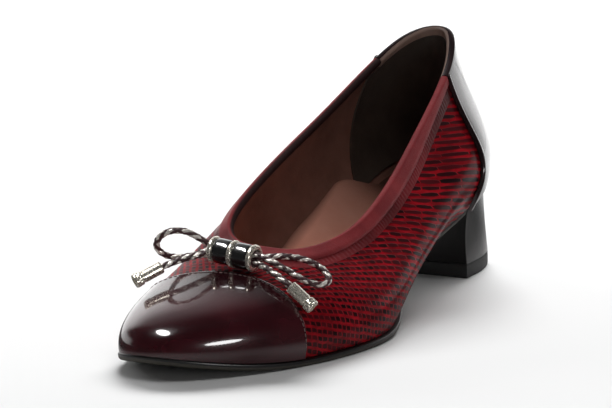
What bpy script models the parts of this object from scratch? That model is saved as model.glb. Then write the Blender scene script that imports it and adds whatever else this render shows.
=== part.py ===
"""A left court shoe with a block heel, a toe cap, a heel counter and a bow of braided cord.

Metres, +Z up. +X is the outer side of the foot and the toe points to -Y. The origin is the middle of
the heel's face on the floor. Sizes are in millimetres, measured out from the shoe's centre line,
forward from the back of the heel and up from the floor.
"""
import math

import bmesh
import bpy
import numpy as np

MM = 0.001

# Driving sizes, mm
LENGTH = 246.0             # back of the heel to the tip of the toe
SEAT_UP = 37.5             # height of the upper's lower edge at the back of the heel
SOLE_UP = 3.0              # height of that edge under the ball, where the sole lies flat
TOE_SPRING = 6.5           # how far the toe tip lifts above the ball
FLAT_REAR = 160.0          # the sole lies flat on the floor between these two
FLAT_FRONT = 200.0
WALL = 1.8                 # thickness of the upper's wall
GAP = 0.3                  # gap between pieces that touch
OVERLAY_GAP = 0.4          # gap under the pieces laid on the upper
OVERLAY = 0.9              # thickness of those pieces
ORIGIN_OUT = 1.5           # middle of the heel's face on the floor
ORIGIN_FORWARD = 24.0
SHARP_ANGLE = 35.0         # degrees, edges sharper than this stay crisp
FINE = 200                 # samples of a curve that is measured or searched

# Sections of the upper, from the back of the heel round the outer side, the toe and the inner side.
# Each wall rises from the foot outline, leaning out by flare over the first rise, and reaches the
# rim leaning in by lean over the last reach. Lengths in mm, angles in degrees.
SECTION_COLUMNS = ("foot_forward", "foot_out", "rim_forward", "rim_out", "rim_up",
                   "flare", "rise", "lean", "reach")
SECTIONS = (
    (6, 0, 15, -2, 97, 8, 25, 10, 26),
    (12, 12.5, 19, 3.5, 94.5, 9, 26, 11, 27),
    (25, 20.5, 30, 8.5, 88, 15, 26, 15, 29),
    (48, 24, 49, 13, 79, 30, 27, 23, 29),
    (81, 21, 80, 17, 64.5, 50, 27, 26, 27),
    (113, 26.5, 109, 20, 51.5, 45, 25, 32, 23),
    (142, 37.5, 137, 20.5, 41.5, 25, 20, 41, 19),
    (170, 38.5, 158, 17.5, 37.5, 13, 17, 55, 21),
    (199, 30.5, 169, 13, 36.5, 8, 17, 64, 29),
    (224, 16, 174, 8, 36.5, 7, 16.5, 68, 37),
    (240, 0.5, 176, 2.5, 37, 7, 16.5, 68, 40),
    (245, -11, 177, -2.5, 37.5, 8, 16.5, 67, 40),
    (242, -23, 177, -8, 38, 8, 16.5, 65, 38),
    (232, -32.5, 175.5, -14, 39.5, 8, 15.5, 62, 33),
    (212, -36, 170, -19.5, 43, 10, 14.5, 58, 26),
    (185, -36, 157, -22.5, 48.5, 16, 14.5, 50, 20),
    (154, -31, 136, -24, 55, 28, 16, 41, 17),
    (119, -20.5, 108, -24.5, 63, 48, 18, 36, 19),
    (84, -16.5, 79, -23.5, 72, 50, 20, 32, 21),
    (48, -20, 47, -20, 85, 28, 22, 27, 24),
    (25, -19.5, 28, -14.5, 94, 15, 23.5, 18, 25),
    (11, -12, 17.5, -8.5, 97, 10, 25, 12, 26),
)
ROUND = 96                 # sections that the upper is made with
OUTER_STEPS = 9            # steps up the outside of its wall
INNER_STEPS = 6            # and up the inside

# Toe cap: its rear edge runs across the vamp and curves forward at both sides
CAP_FORWARD = 195.0        # the edge on the middle of the vamp
CAP_MIDDLE_OUT = -7.0      # where that middle lies
CAP_SIDE_FORWARD = 7.0     # how much further forward the edge is at the sides
CAP_SIDE_OUT = 34.0        # half the width over which it curves
CAP_FOOT = 0.025           # the cap starts this share of the way up the wall
CAP_END = 0.04             # share of the wall that it covers at its two ends
CAP_ACROSS, CAP_ALONG = 38, 9
TOE_PLACES = (0.3, 0.7)    # the share of the way round the shoe in which its ends are looked for

# Heel counter: a piece round the heel with a piped front edge, folded over the collar
COUNTER_TOP_FORWARD = 42.0
COUNTER_FOOT_FORWARD = 49.0
COUNTER_FOOT = 0.025
PIPE = 0.7                 # how much thicker the front edge is
PIPE_WIDTH = 2.4
PIPE_STEPS = 4
COUNTER_ACROSS, COUNTER_ALONG = 20, 8
HEEL_PLACES = 0.3          # the share of the way round the shoe in which its ends are looked for

# Binding of the collar
BINDING_WIDTH = 5.0        # down the outside
BINDING_STEPS = 1
SHORT_STEP = 0.3           # its end steps are no shorter than this share of a step of the upper
FOLD_DEPTH = 4.0           # down the inside, for the counter too
FOLD_STOPS = (1.0,)       # shares of that depth at which the fold has a point
FOLD_CORNER = 0.8          # how square the fold's corners are: 0.7 is round, 1 is sharp
BINDING_LEAD = 1.6         # its ends lie this far in front of the counter's top corners

# Outsole
SOLE_THICK = 2.7
SOLE_EDGE = 1.7            # how far its edge stands out round the forefoot
WAIST_TUCK = 0.8           # how far it is tucked in under the waist
WAIST_FORWARD, BALL_FORWARD = 85.0, 150.0
SOLE_EDGE_PROFILE = ((0.3, 0.0), (0.0, 0.35), (0.3, 0.75), (1.0, 1.0))   # inset mm, share of thickness
SOLE_RUNGS = 44
TIP_CUT = 0.15             # the first and last rungs of a plate lie this far inside its ends

# Heel: a block with a flat breast, on its own ground piece
BREAST_TOP, BREAST_BOTTOM = 46.5, 43.5
HEEL_BACK_BOTTOM = 4.0
HEEL_HALF_WIDTH = 20.0
HEEL_ROUND = 2.5           # power of the rounded back of the ground face
HEEL_INSET = 0.5           # the block's top inside the foot outline
HEEL_WAIST = 0.9           # how far its sides are hollowed
TOP_PIECE = 6.0            # height of the ground piece with its gap
TOP_PIECE_PROFILE = ((0.5, 0.0), (0.0, 0.6), (0.0, TOP_PIECE - GAP))    # inset and height, mm
HEEL_RUNGS, HEEL_LAYERS = 14, 6
FIRST_RUNG = 0.12          # angle of the first rung from the back of the heel

# Insole
INSOLE_MARGIN = 2.2        # inside the foot outline
INSOLE_THICK = 2.2
INSOLE_PROFILE = ((0.0, 0.0), (0.0, 0.7), (0.5, 1.0))     # inset mm, share of thickness
INSOLE_RUNGS = 36

# Bow: a barrel of rings and drums with one cord through it three times
CORD_DIAMETER = 2.7
CORD_POINTS = 62
BARREL_OUTER = (4.3, 192.7, 37.35)     # middle of the barrel's outer end: out, forward, up
BARREL_INNER = (-15.1, 191.0, 38.95)
BARREL_UP = (0.0, 0.3, 0.95)           # square to the vamp under it
BORE = 3.55                            # radius of the hole through the barrel
BARREL_PIECES = 5                      # rings and drums in turn
RING_LONG, RING_RADIUS = 1.8, 5.3
DRUM_LONG, DRUM_RADIUS = 6.5, 4.95
STRANDS = 3                            # runs of the cord through the barrel
STRAND_RADIUS = 1.85                   # of these runs about the barrel's axis
STRAND_START = -30.0                   # degrees, the first run lies low at the front of the outer end
STRAND_TWIST = 120.0                   # degrees that they turn from end to end
STRAND_STEPS = 5
ROUTE_STEPS = 16                       # samples between two points of the route
FERRULE_LONG, FERRULE_BORE = 12.0, 1.7
FERRULE_INSERT = 7.0                   # how far the cord runs into it
FERRULE_PROFILE = ((0.0, 2.35), (0.70, 2.45), (0.74, 2.7), (0.97, 2.85), (1.0, 2.7))   # share, radius
EASE = 0.35                            # easing of the barrel's edges
TURNED_SIDES = 14

# The cord's route outside the barrel, mm: out, forward, up
OUTER_TAIL = ((23.4, 201.0, 30.1), (19.1, 200.1, 32.4), (12.9, 197.7, 34.5), (8.4, 195.3, 35.5))
INNER_LOOP = ((-19.2, 193.2, 43.1), (-24.4, 195.4, 46.0), (-30.2, 197.6, 46.0), (-34.6, 198.2, 43.2),
              (-36.6, 196.6, 39.2), (-35.0, 193.8, 35.8), (-30.2, 191.5, 34.6), (-24.2, 189.6, 35.7),
              (-19.0, 189.1, 37.5))
OUTER_LOOP = ((9.8, 193.7, 37.7), (16.4, 193.3, 34.9), (22.4, 192.8, 31.9), (27.4, 191.5, 29.6),
              (30.8, 187.8, 28.8), (30.3, 182.7, 30.1), (25.7, 180.6, 33.3), (19.5, 182.1, 36.2),
              (12.7, 186.3, 37.7), (8.4, 188.9, 37.6))
INNER_TAIL = ((-19.6, 194.7, 37.1), (-24.9, 199.2, 35.6), (-30.3, 204.4, 33.4))
OUTER_END = (32.6, 200.5, 22.5)        # open ends of the two ferrules
INNER_END = (-37.6, 212.3, 28.8)

# Colours: red, green, blue, roughness, metallic
FINISHES = {
    "red_leather": (0.24, 0.012, 0.014, 0.38, 0.0),
    "red_binding": (0.20, 0.030, 0.032, 0.55, 0.0),
    "dark_patent": (0.030, 0.010, 0.012, 0.10, 0.0),
    "black_patent": (0.012, 0.011, 0.012, 0.14, 0.0),
    "sole_board": (0.030, 0.028, 0.024, 0.60, 0.0),
    "heel_rubber": (0.014, 0.014, 0.014, 0.75, 0.0),
    "brown_lining": (0.16, 0.085, 0.062, 0.65, 0.0),
    "braided_cord": (0.36, 0.32, 0.30, 0.55, 0.0),
    "silver_metal": (0.70, 0.68, 0.64, 0.22, 1.0),
    "black_enamel": (0.010, 0.010, 0.010, 0.12, 0.0),
}


def clear_scene():
    for obj in list(bpy.data.objects):
        bpy.data.objects.remove(obj, do_unlink=True)


def place(points):
    """Millimetres out, forward and up to metres in the shoe's frame."""
    points = np.asarray(points, float)
    out, forward, up = points[..., 0], points[..., 1], points[..., 2]
    return np.stack([out - ORIGIN_OUT, ORIGIN_FORWARD - forward, up], -1) * MM


def finish(name, kind):
    """A material of this name with one of the finishes."""
    red, green, blue, roughness, metallic = FINISHES[kind]
    material = bpy.data.materials.new(name)
    material.use_nodes = True
    shader = material.node_tree.nodes["Principled BSDF"]
    shader.inputs["Base Color"].default_value = (red, green, blue, 1.0)
    shader.inputs["Roughness"].default_value = roughness
    shader.inputs["Metallic"].default_value = metallic
    return material


def add_solid(name, mesh_builder, material):
    """A closed mesh object from a bmesh, with its faces turned out."""
    bmesh.ops.recalc_face_normals(mesh_builder, faces=mesh_builder.faces[:])
    mesh = bpy.data.meshes.new(name)
    mesh_builder.to_mesh(mesh)
    mesh_builder.free()
    mesh.shade_smooth()
    mesh.set_sharp_from_angle(angle=math.radians(SHARP_ANGLE))
    mesh.materials.append(material)
    obj = bpy.data.objects.new(name, mesh)
    bpy.context.collection.objects.link(obj)
    return obj


def add_points(builder, points):
    """Vertices for a grid of points in mm, as nested lists of the same shape."""
    if points.ndim == 1:
        return builder.verts.new(place(points))
    return [add_points(builder, part) for part in points]


def add_strip(builder, first, second, closed):
    """Quads between two rows of vertices of the same length."""
    count = len(first)
    for i in range(count if closed else count - 1):
        j = (i + 1) % count
        builder.faces.new((first[i], first[j], second[j], second[i]))


def skin(name, outside, inside, closed, material):
    """A solid between two grids of points, indexed round the shoe and then along the section."""
    builder = bmesh.new()
    near, far = add_points(builder, outside), add_points(builder, inside)
    sections = [a + b[::-1] for a, b in zip(near, far)]
    pairs = list(zip(sections, sections[1:]))
    if closed:
        pairs.append((sections[-1], sections[0]))
    for first, second in pairs:
        add_strip(builder, first, second, closed=True)
    if not closed:
        add_strip(builder, near[0], far[0], closed=False)
        add_strip(builder, near[-1], far[-1], closed=False)
    return add_solid(name, builder, material)


def plate(name, layers, material):
    """A solid from layers of rungs: each rung has one point on the outer side and one on the inner."""
    builder = bmesh.new()
    made = [add_points(builder, layer) for layer in layers]
    rings = [[rung[0] for rung in layer] + [rung[1] for rung in layer[::-1]] for layer in made]
    for first, second in zip(rings, rings[1:]):
        add_strip(builder, first, second, closed=True)
    for layer in (made[0], made[-1]):
        add_strip(builder, [rung[0] for rung in layer], [rung[1] for rung in layer], closed=False)
    return add_solid(name, builder, material)


def turned(name, profile, start, end, material):
    """A ring turned about the line from start, with a profile of (distance along, radius) in mm."""
    axis = (np.array(end, float) - np.array(start, float))
    axis /= np.linalg.norm(axis)
    across = np.cross(axis, (0.0, 0.0, 1.0))
    across /= np.linalg.norm(across)
    other = np.cross(axis, across)
    angle = np.linspace(0, 2 * np.pi, TURNED_SIDES, endpoint=False)[:, None, None]
    profile = np.array(profile, float)
    along, radius = profile[None, :, :1], profile[None, :, 1:]
    points = np.array(start) + along * axis + radius * (np.cos(angle) * across + np.sin(angle) * other)
    builder = bmesh.new()
    sections = add_points(builder, points)
    for first, second in zip(sections, sections[1:] + sections[:1]):
        add_strip(builder, first, second, closed=True)
    return add_solid(name, builder, material)


def sole_line(forward):
    """Height of the upper's lower edge: the seat, the slope of the arch, the flat and the toe spring."""
    back = np.clip((FLAT_REAR - forward) / FLAT_REAR, 0, 1)
    front = np.maximum((forward - FLAT_FRONT) / (LENGTH - FLAT_FRONT), 0)
    return SOLE_UP + (SEAT_UP - SOLE_UP) * (3 * back**2 - 2 * back**3) + TOE_SPRING * front**2


def closed_spline(knots, values, at):
    """A smooth closed curve through the rows of values at the knots, which run from 0 to 1."""
    count = len(values)
    width = np.diff(knots)
    system = np.zeros((count, count))
    right = np.zeros(values.shape)
    for i in range(count):
        before, after = (i - 1) % count, (i + 1) % count
        system[i, before] += width[before]
        system[i, i] += 2 * (width[before] + width[i])
        system[i, after] += width[i]
        right[i] = 6 * ((values[after] - values[i]) / width[i] - (values[i] - values[before]) / width[before])
    bend = np.linalg.solve(system, right)
    at = np.mod(at, 1.0)
    i = np.clip(np.searchsorted(knots, at, side="right") - 1, 0, count - 1)
    j = (i + 1) % count
    u = ((at - knots[i]) / width[i])[:, None]
    w = 1 - u
    curve = (w**3 - w) * bend[i] + (u**3 - u) * bend[j]
    return w * values[i] + u * values[j] + width[i][:, None] ** 2 / 6 * curve


def section(v):
    """The columns of the section table at places v round the shoe, from 0 to 1."""
    table = np.array(SECTIONS, float)
    loop = np.vstack([table[:, :2], table[:1, :2]])
    step = np.sqrt(np.linalg.norm(np.diff(loop, axis=0), axis=1))
    knots = np.concatenate([[0.0], np.cumsum(step)]) / step.sum()
    return dict(zip(SECTION_COLUMNS, closed_spline(knots, table, np.asarray(v, float)).T))


def foot_line(v):
    """Points of the foot outline (out, forward) and its outward directions."""
    small = 1e-4
    here, before, after = section(v), section(v - small), section(v + small)
    normal = np.stack([after["foot_forward"] - before["foot_forward"],
                       before["foot_out"] - after["foot_out"]], 1)
    normal /= np.linalg.norm(normal, axis=1)[:, None]
    return np.stack([here["foot_out"], here["foot_forward"]], 1), normal


def wall(v, t):
    """Points of the upper's outside at places v round the shoe and t up the wall, matched one to one."""
    here = section(v)
    foot, normal = foot_line(v)
    flare, lean = np.radians(here["flare"])[:, None], np.radians(here["lean"])[:, None]
    low = np.concatenate([foot, sole_line(foot[:, 1])[:, None]], 1)
    high = np.stack([here["rim_out"], here["rim_forward"], here["rim_up"]], 1)
    rising = np.concatenate([normal * np.sin(flare), np.cos(flare)], 1)
    falling = np.concatenate([normal * np.sin(lean), -np.cos(lean)], 1)
    knee = low + here["rise"][:, None] * rising
    shoulder = high + here["reach"][:, None] * falling
    t = np.asarray(t, float)[:, None]
    s = 1 - t
    return s**3 * low + 3 * s**2 * t * knee + 3 * s * t**2 * shoulder + t**3 * high


def surface(v, t, lift=0.0):
    """Points of a grid (v, t) on the wall, moved out by lift, with the outward and upward directions."""
    v, t = np.broadcast_arrays(np.asarray(v, float), np.asarray(t, float))
    shape, v, t = v.shape, v.ravel(), t.ravel()
    small = 1e-3
    up = wall(v, t + small) - wall(v, t - small)
    along = wall(v + small, t) - wall(v - small, t)
    out = np.cross(along, up)
    out /= np.linalg.norm(out, axis=1)[:, None]
    up /= np.linalg.norm(up, axis=1)[:, None]
    points = wall(v, t) + np.broadcast_to(lift, shape).reshape(-1, 1) * out
    return points.reshape(*shape, 3), out.reshape(*shape, 3), up.reshape(*shape, 3)


def wall_length(v):
    """Length of the wall from the foot outline to the rim at places v, mm."""
    grid = surface(v[:, None], np.linspace(0, 1, FINE)[None, :])[0]
    return np.linalg.norm(np.diff(grid, axis=1), axis=2).sum(1)


def outline(margin):
    """A function of the forward distance that gives both edges of the foot outline moved out by margin."""
    foot, normal = foot_line(np.linspace(0, 1, 6 * FINE, endpoint=False))
    moved = foot + np.broadcast_to(margin(foot[:, 1]), len(foot))[:, None] * normal
    moved = np.roll(moved, -moved[:, 1].argmin(), axis=0)
    tip = moved[:, 1].argmax()
    outer, inner = moved[:tip + 1], np.vstack([moved[:1], moved[:tip - 1:-1]])

    def edges(forward):
        return np.interp(forward, outer[:, 1], outer[:, 0]), np.interp(forward, inner[:, 1], inner[:, 0])

    return edges, moved[0, 1], moved[tip, 1]


def rungs(edges, forward, up):
    """Rungs of a plate across the shoe, at the given forward distances and heights."""
    outer, inner = edges
    return np.stack([np.stack([outer, forward, up], 1), np.stack([inner, forward, up], 1)], 1)


def over_the_rim(v, t, lift, ridge=0.0):
    """Points of sections that run up the outside of the wall, over the rim and down the inside."""
    rim_v = v[:, -1:]
    outside = surface(v, t, lift + ridge)[0]
    rim, out, up = surface(rim_v, 1.0)
    corner = FOLD_CORNER * lift
    middle, inner = rim - WALL / 2 * out, rim - WALL * out
    fold = (rim + corner * (out + up), middle + lift * up, inner + corner * (up - out))
    depth = FOLD_DEPTH / wall_length(rim_v[:, 0])[:, None]
    inside = surface(rim_v, 1 - depth * np.array([FOLD_STOPS]), -WALL - lift)[0]
    return np.concatenate([outside, *fold, inside], 1)


def make_upper(material):
    v = np.arange(ROUND)[:, None] / ROUND
    outside = surface(v, np.linspace(0, 1, OUTER_STEPS + 1)[None, :])[0]
    inside = surface(v, np.linspace(0, 1, INNER_STEPS + 1)[None, :], -WALL)[0]
    skin("upper", outside, inside, True, material)


def cap_edge(v):
    """How far up the wall the cap reaches at places v: to the edge that runs across the vamp."""
    t = np.linspace(0, 1, FINE)
    grid = surface(v[:, None], t[None, :])[0]
    side = np.minimum(np.abs(grid[..., 0] - CAP_MIDDLE_OUT) / CAP_SIDE_OUT, 1.0)
    behind = CAP_FORWARD + CAP_SIDE_FORWARD * side**2 - grid[..., 1]
    return np.array([np.interp(0.0, row, t) for row in behind])


def make_toe_cap(material):
    v = np.linspace(*TOE_PLACES, 2 * FINE)
    covered = v[cap_edge(v) > CAP_FOOT + CAP_END]
    share = 0.5 - 0.5 * np.cos(np.linspace(0, np.pi, CAP_ACROSS + 1))
    v = covered[0] + (covered[-1] - covered[0]) * share
    t = CAP_FOOT + (cap_edge(v) - CAP_FOOT)[:, None] * np.linspace(0, 1, CAP_ALONG + 1)[None, :]
    outside = surface(v[:, None], t, OVERLAY_GAP + OVERLAY)[0]
    skin("toe_cap", outside, surface(v[:, None], t, OVERLAY_GAP)[0], False, material)


def side_place(forward, t, outer_side):
    """Place v on one side of the heel where the wall, t up, lies at this forward distance."""
    v = np.linspace(0, HEEL_PLACES, FINE) * (1 if outer_side else -1)
    return np.interp(forward, surface(v, t)[0][:, 1], v)


def make_heel_counter(material):
    t = np.linspace(COUNTER_FOOT, 1, COUNTER_ALONG + 1)
    forward = COUNTER_FOOT_FORWARD + (COUNTER_TOP_FORWARD - COUNTER_FOOT_FORWARD) * t
    ends = [np.array([side_place(f, h, side) for f, h in zip(forward, t)]) for side in (False, True)]
    lower_edge = surface(np.linspace(ends[0][0], ends[1][0], FINE), t[0])[0]
    width = np.linalg.norm(np.diff(lower_edge, axis=0), axis=1).sum()
    pipe = np.linspace(0, PIPE_WIDTH, PIPE_STEPS + 1) / width
    middle = np.linspace(pipe[-1], 1 - pipe[-1], COUNTER_ACROSS + 1)
    share = np.concatenate([pipe[:-1], middle, 1 - pipe[-2::-1]])[:, None]
    from_edge = np.minimum(share, 1 - share) * width / PIPE_WIDTH
    ridge = PIPE * np.sqrt(np.clip(1 - (2 * np.minimum(from_edge, 1) - 1) ** 2, 0, 1))
    v = ends[0][None, :] + (ends[1] - ends[0])[None, :] * share
    outside = over_the_rim(v, t[None, :], OVERLAY_GAP + OVERLAY, ridge)
    skin("heel_counter", outside, over_the_rim(v, t[None, :], OVERLAY_GAP), False, material)


def make_topline_binding(material):
    start = side_place(COUNTER_TOP_FORWARD + BINDING_LEAD, 1.0, True)
    end = 1 + side_place(COUNTER_TOP_FORWARD + BINDING_LEAD, 1.0, False)
    between = np.arange(ROUND) / ROUND
    between = between[(between > start + SHORT_STEP / ROUND) & (between < end - SHORT_STEP / ROUND)]
    v = np.concatenate([[start], between, [end]])
    t = 1 - BINDING_WIDTH / wall_length(v)[:, None] * np.linspace(1, 0, BINDING_STEPS + 1)[None, :]
    outside = over_the_rim(v[:, None], t, OVERLAY_GAP + OVERLAY)
    skin("topline_binding", outside, over_the_rim(v[:, None], t, OVERLAY_GAP), False, material)


def outsole_margin(forward):
    """How far the sole's edge stands out from the foot outline: tucked in at the waist, out at the ball."""
    share = np.clip((forward - WAIST_FORWARD) / (BALL_FORWARD - WAIST_FORWARD), 0, 1)
    return -WAIST_TUCK + (SOLE_EDGE + WAIST_TUCK) * (3 * share**2 - 2 * share**3)


def make_outsole(material):
    rear = BREAST_TOP + GAP
    share = np.sin(np.linspace(0, np.pi / 2, SOLE_RUNGS + 1))
    layers = []
    for inset, depth in SOLE_EDGE_PROFILE:
        edges, _, tip = outline(lambda forward: outsole_margin(forward) - inset)
        forward = rear + (tip - TIP_CUT - rear) * share
        layers.append(rungs(edges(forward), forward, sole_line(forward) - GAP - depth * SOLE_THICK))
    plate("outsole", layers, material)


def heel_ground(share, inset=0.0):
    """Edges of the heel's ground face at shares of its depth, and the forward distances there."""
    half = (HEEL_HALF_WIDTH - inset) * (1 - (1 - share) ** HEEL_ROUND) ** (1 / HEEL_ROUND)
    back, breast = HEEL_BACK_BOTTOM + inset, BREAST_BOTTOM - inset
    return (ORIGIN_OUT + half, ORIGIN_OUT - half), back + (breast - back) * share


def heel_shares():
    return 1 - np.cos(np.linspace(FIRST_RUNG, np.pi / 2, HEEL_RUNGS))


def make_heel(material):
    share = heel_shares()
    edges, back, _ = outline(lambda forward: -HEEL_INSET)
    top_forward = back + (BREAST_TOP - back) * share
    top = rungs(edges(top_forward), top_forward, sole_line(top_forward) - GAP)
    ground, forward = heel_ground(share)
    bottom = rungs(ground, forward, np.full(len(share), TOP_PIECE))
    hollow = np.array([1.0, 0.0, 0.0]) * HEEL_WAIST
    layers = []
    for height in np.linspace(0, 1, HEEL_LAYERS + 1):
        layer = bottom + (top - bottom) * height
        waist = math.sin(math.pi * height) * share[:, None]
        layer[:, 0] -= waist * hollow
        layer[:, 1] += waist * hollow
        layers.append(layer)
    plate("heel", layers, material)


def make_heel_top_piece(material):
    share = heel_shares()
    layers = []
    for inset, up in TOP_PIECE_PROFILE:
        edges, forward = heel_ground(share, inset)
        layers.append(rungs(edges, forward, np.full(len(share), up)))
    plate("heel_top_piece", layers, material)


def make_insole(material):
    share = 0.5 - 0.5 * np.cos(np.linspace(0, np.pi, INSOLE_RUNGS + 1))
    layers = []
    for inset, height in INSOLE_PROFILE:
        edges, back, tip = outline(lambda forward: -INSOLE_MARGIN - inset)
        forward = back + TIP_CUT + (tip - back - 2 * TIP_CUT) * share
        layers.append(rungs(edges(forward), forward, sole_line(forward) + height * INSOLE_THICK))
    plate("insole", layers, material)


def barrel_frame():
    """Axis of the bow's barrel from its outer end, and the front and upper directions square to it."""
    axis = np.subtract(BARREL_INNER, BARREL_OUTER)
    axis /= np.linalg.norm(axis)
    up = np.array(BARREL_UP) - np.dot(BARREL_UP, axis) * axis
    up /= np.linalg.norm(up)
    return axis, np.cross(axis, up), up


def strand(index):
    """One of the cord's three runs through the barrel, from the outer end to the inner end."""
    _, front, up = barrel_frame()
    share = np.linspace(0, 1, STRAND_STEPS)[:, None]
    angle = np.radians(STRAND_START + 360 / STRANDS * index + STRAND_TWIST * share)
    middle = np.array(BARREL_OUTER) + np.subtract(BARREL_INNER, BARREL_OUTER) * share
    return middle + STRAND_RADIUS * (np.cos(angle) * front + np.sin(angle) * up)


def insert(mouth, end):
    """The end of the cord inside a ferrule, from its tip to near the ferrule's mouth."""
    along = np.subtract(end, mouth)
    along /= np.linalg.norm(along)
    return np.array(mouth) + np.array([[1.0], [0.5]]) * FERRULE_INSERT * along


def cord_route():
    """Points that the cord passes: tail, loop, loop and tail, with a run through the barrel between each."""
    return np.vstack([insert(OUTER_TAIL[0], OUTER_END), OUTER_TAIL, strand(0), INNER_LOOP, strand(1)[::-1],
                      OUTER_LOOP, strand(2), INNER_TAIL, insert(INNER_TAIL[-1], INNER_END)[::-1]])


def smooth_route(points, count):
    """Evenly spaced points on a smooth curve through the route."""
    points = np.vstack([2 * points[0] - points[1], points, 2 * points[-1] - points[-2]])
    knot = np.concatenate([[0], np.cumsum(np.sqrt(np.linalg.norm(np.diff(points, axis=0), axis=1)))])
    curve = []
    for i in range(1, len(points) - 2):
        t = np.linspace(knot[i], knot[i + 1], ROUTE_STEPS, endpoint=False)[:, None]
        rows = list(points[i - 1:i + 3])
        for span in (1, 2, 3):
            rows = [((knot[i + k + span - 1] - t) * rows[k] + (t - knot[i + k - 1]) * rows[k + 1])
                    / (knot[i + k + span - 1] - knot[i + k - 1]) for k in range(len(rows) - 1)]
        curve.append(rows[0])
    curve = np.vstack(curve + [points[-2:-1]])
    far = np.concatenate([[0], np.cumsum(np.linalg.norm(np.diff(curve, axis=0), axis=1))])
    even = np.linspace(0, far[-1], count)
    return np.stack([np.interp(even, far, column) for column in curve.T], 1)


def make_cord(material):
    curve = bpy.data.curves.new("bow_cord", "CURVE")
    curve.dimensions = "3D"
    curve.bevel_depth = CORD_DIAMETER / 2 * MM
    curve.bevel_resolution = 2
    curve.use_fill_caps = True
    spline = curve.splines.new("POLY")
    spline.points.add(CORD_POINTS - 1)
    for point, where in zip(spline.points, place(smooth_route(cord_route(), CORD_POINTS))):
        point.co = (*where, 1.0)
    curve.materials.append(material)
    bpy.context.collection.objects.link(bpy.data.objects.new("bow_cord", curve))


def band_profile(start, length, radius):
    """Profile of a barrel piece: a sleeve with its outer edges eased."""
    return ((start, BORE), (start, radius - EASE), (start + EASE, radius), (start + length - EASE, radius),
            (start + length, radius - EASE), (start + length, BORE))


def make_barrel():
    along = 0.0
    for index in range(BARREL_PIECES):
        is_ring = index % 2 == 0
        name = f"bow_{'ring' if is_ring else 'drum'}_{index // 2 + 1}"
        length, radius = (RING_LONG, RING_RADIUS) if is_ring else (DRUM_LONG, DRUM_RADIUS)
        turned(name, band_profile(along, length, radius), BARREL_OUTER, BARREL_INNER,
               finish(name, "silver_metal" if is_ring else "black_enamel"))
        along += length + GAP


def make_ferrules():
    profile = [(share * FERRULE_LONG, radius) for share, radius in FERRULE_PROFILE]
    profile += [(FERRULE_LONG, FERRULE_BORE), (0.0, FERRULE_BORE)]
    for name, mouth, end in (("cord_end_outer", OUTER_TAIL[0], OUTER_END),
                             ("cord_end_inner", INNER_TAIL[-1], INNER_END)):
        turned(name, profile, mouth, end, finish(name, "silver_metal"))


def main():
    clear_scene()
    make_upper(finish("upper", "red_leather"))
    make_toe_cap(finish("toe_cap", "dark_patent"))
    make_heel_counter(finish("heel_counter", "dark_patent"))
    make_topline_binding(finish("topline_binding", "red_binding"))
    make_outsole(finish("outsole", "sole_board"))
    make_heel(finish("heel", "black_patent"))
    make_heel_top_piece(finish("heel_top_piece", "heel_rubber"))
    make_insole(finish("insole", "brown_lining"))
    make_barrel()
    make_cord(finish("bow_cord", "braided_cord"))
    make_ferrules()


main()
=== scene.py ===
# %% [markdown]
# # A red court shoe with a bow of braided cord
#
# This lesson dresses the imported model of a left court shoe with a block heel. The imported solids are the
# frame: they say where everything is. Each soft or shiny piece is then worked out again as a finer
# surface with numpy, in millimetres measured out from the shoe's centre line, forward from the back of
# the heel and up from the floor, and gets a finish made of shader nodes.

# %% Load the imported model
import math

import bpy
import numpy as np
from mathutils import Matrix


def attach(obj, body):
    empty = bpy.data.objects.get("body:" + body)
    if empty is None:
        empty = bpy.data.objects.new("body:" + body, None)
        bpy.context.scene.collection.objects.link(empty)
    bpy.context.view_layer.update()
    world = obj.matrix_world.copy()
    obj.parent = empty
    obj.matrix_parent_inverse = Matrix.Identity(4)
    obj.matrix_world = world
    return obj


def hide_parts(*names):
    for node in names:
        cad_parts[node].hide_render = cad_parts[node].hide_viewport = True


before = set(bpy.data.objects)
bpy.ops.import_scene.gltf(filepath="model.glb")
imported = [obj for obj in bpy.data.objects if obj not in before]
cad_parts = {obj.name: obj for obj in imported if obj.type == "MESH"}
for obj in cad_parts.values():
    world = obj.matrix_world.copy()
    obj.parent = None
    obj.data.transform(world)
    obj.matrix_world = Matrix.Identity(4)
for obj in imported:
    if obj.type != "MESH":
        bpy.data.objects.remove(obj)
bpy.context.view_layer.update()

MM = 0.001
ORIGIN_OUT, ORIGIN_FORWARD = 1.5, 24.0      # the frame's origin, in the shoe's own millimetres


def place(points):
    """Millimetres out, forward and up become metres: X is out - 1.5, Y is 24 - forward and Z is up."""
    points = np.asarray(points, float)
    out, forward, up = points[..., 0], points[..., 1], points[..., 2]
    return np.stack([out - ORIGIN_OUT, ORIGIN_FORWARD - forward, up], -1) * MM


print("packed pieces:", sorted(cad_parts))

# %% [markdown]
# ## The camera
#
# A product picture of a shoe is taken from far away with a long lens, so that the toe doesn't look
# larger than the heel. The camera stands on a ray from the middle of the shoe, given by an azimuth from
# the toe and an elevation, and is rolled a little. A matrix of its three directions places it in one go.

# %% Place the camera
AIM = (-9.6, 124.3, 44.2)                   # the point that it looks at, mm
AZIMUTH, ELEVATION, ROLL = 27.6, 11.9, -0.86
DISTANCE, LENS, SENSOR = 1930.0, 288.6, 36.0
NEAREST, FARTHEST = 0.05, 50.0              # what it can see, m


def stand(obj, right, up, back, at):
    """Adds an object to the scene with its axes along three directions, at a place in metres."""
    bpy.context.collection.objects.link(obj)
    matrix = np.eye(4)
    matrix[:3] = np.stack([right, up, back, at], 1)
    obj.matrix_world = Matrix(matrix.tolist())


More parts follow.
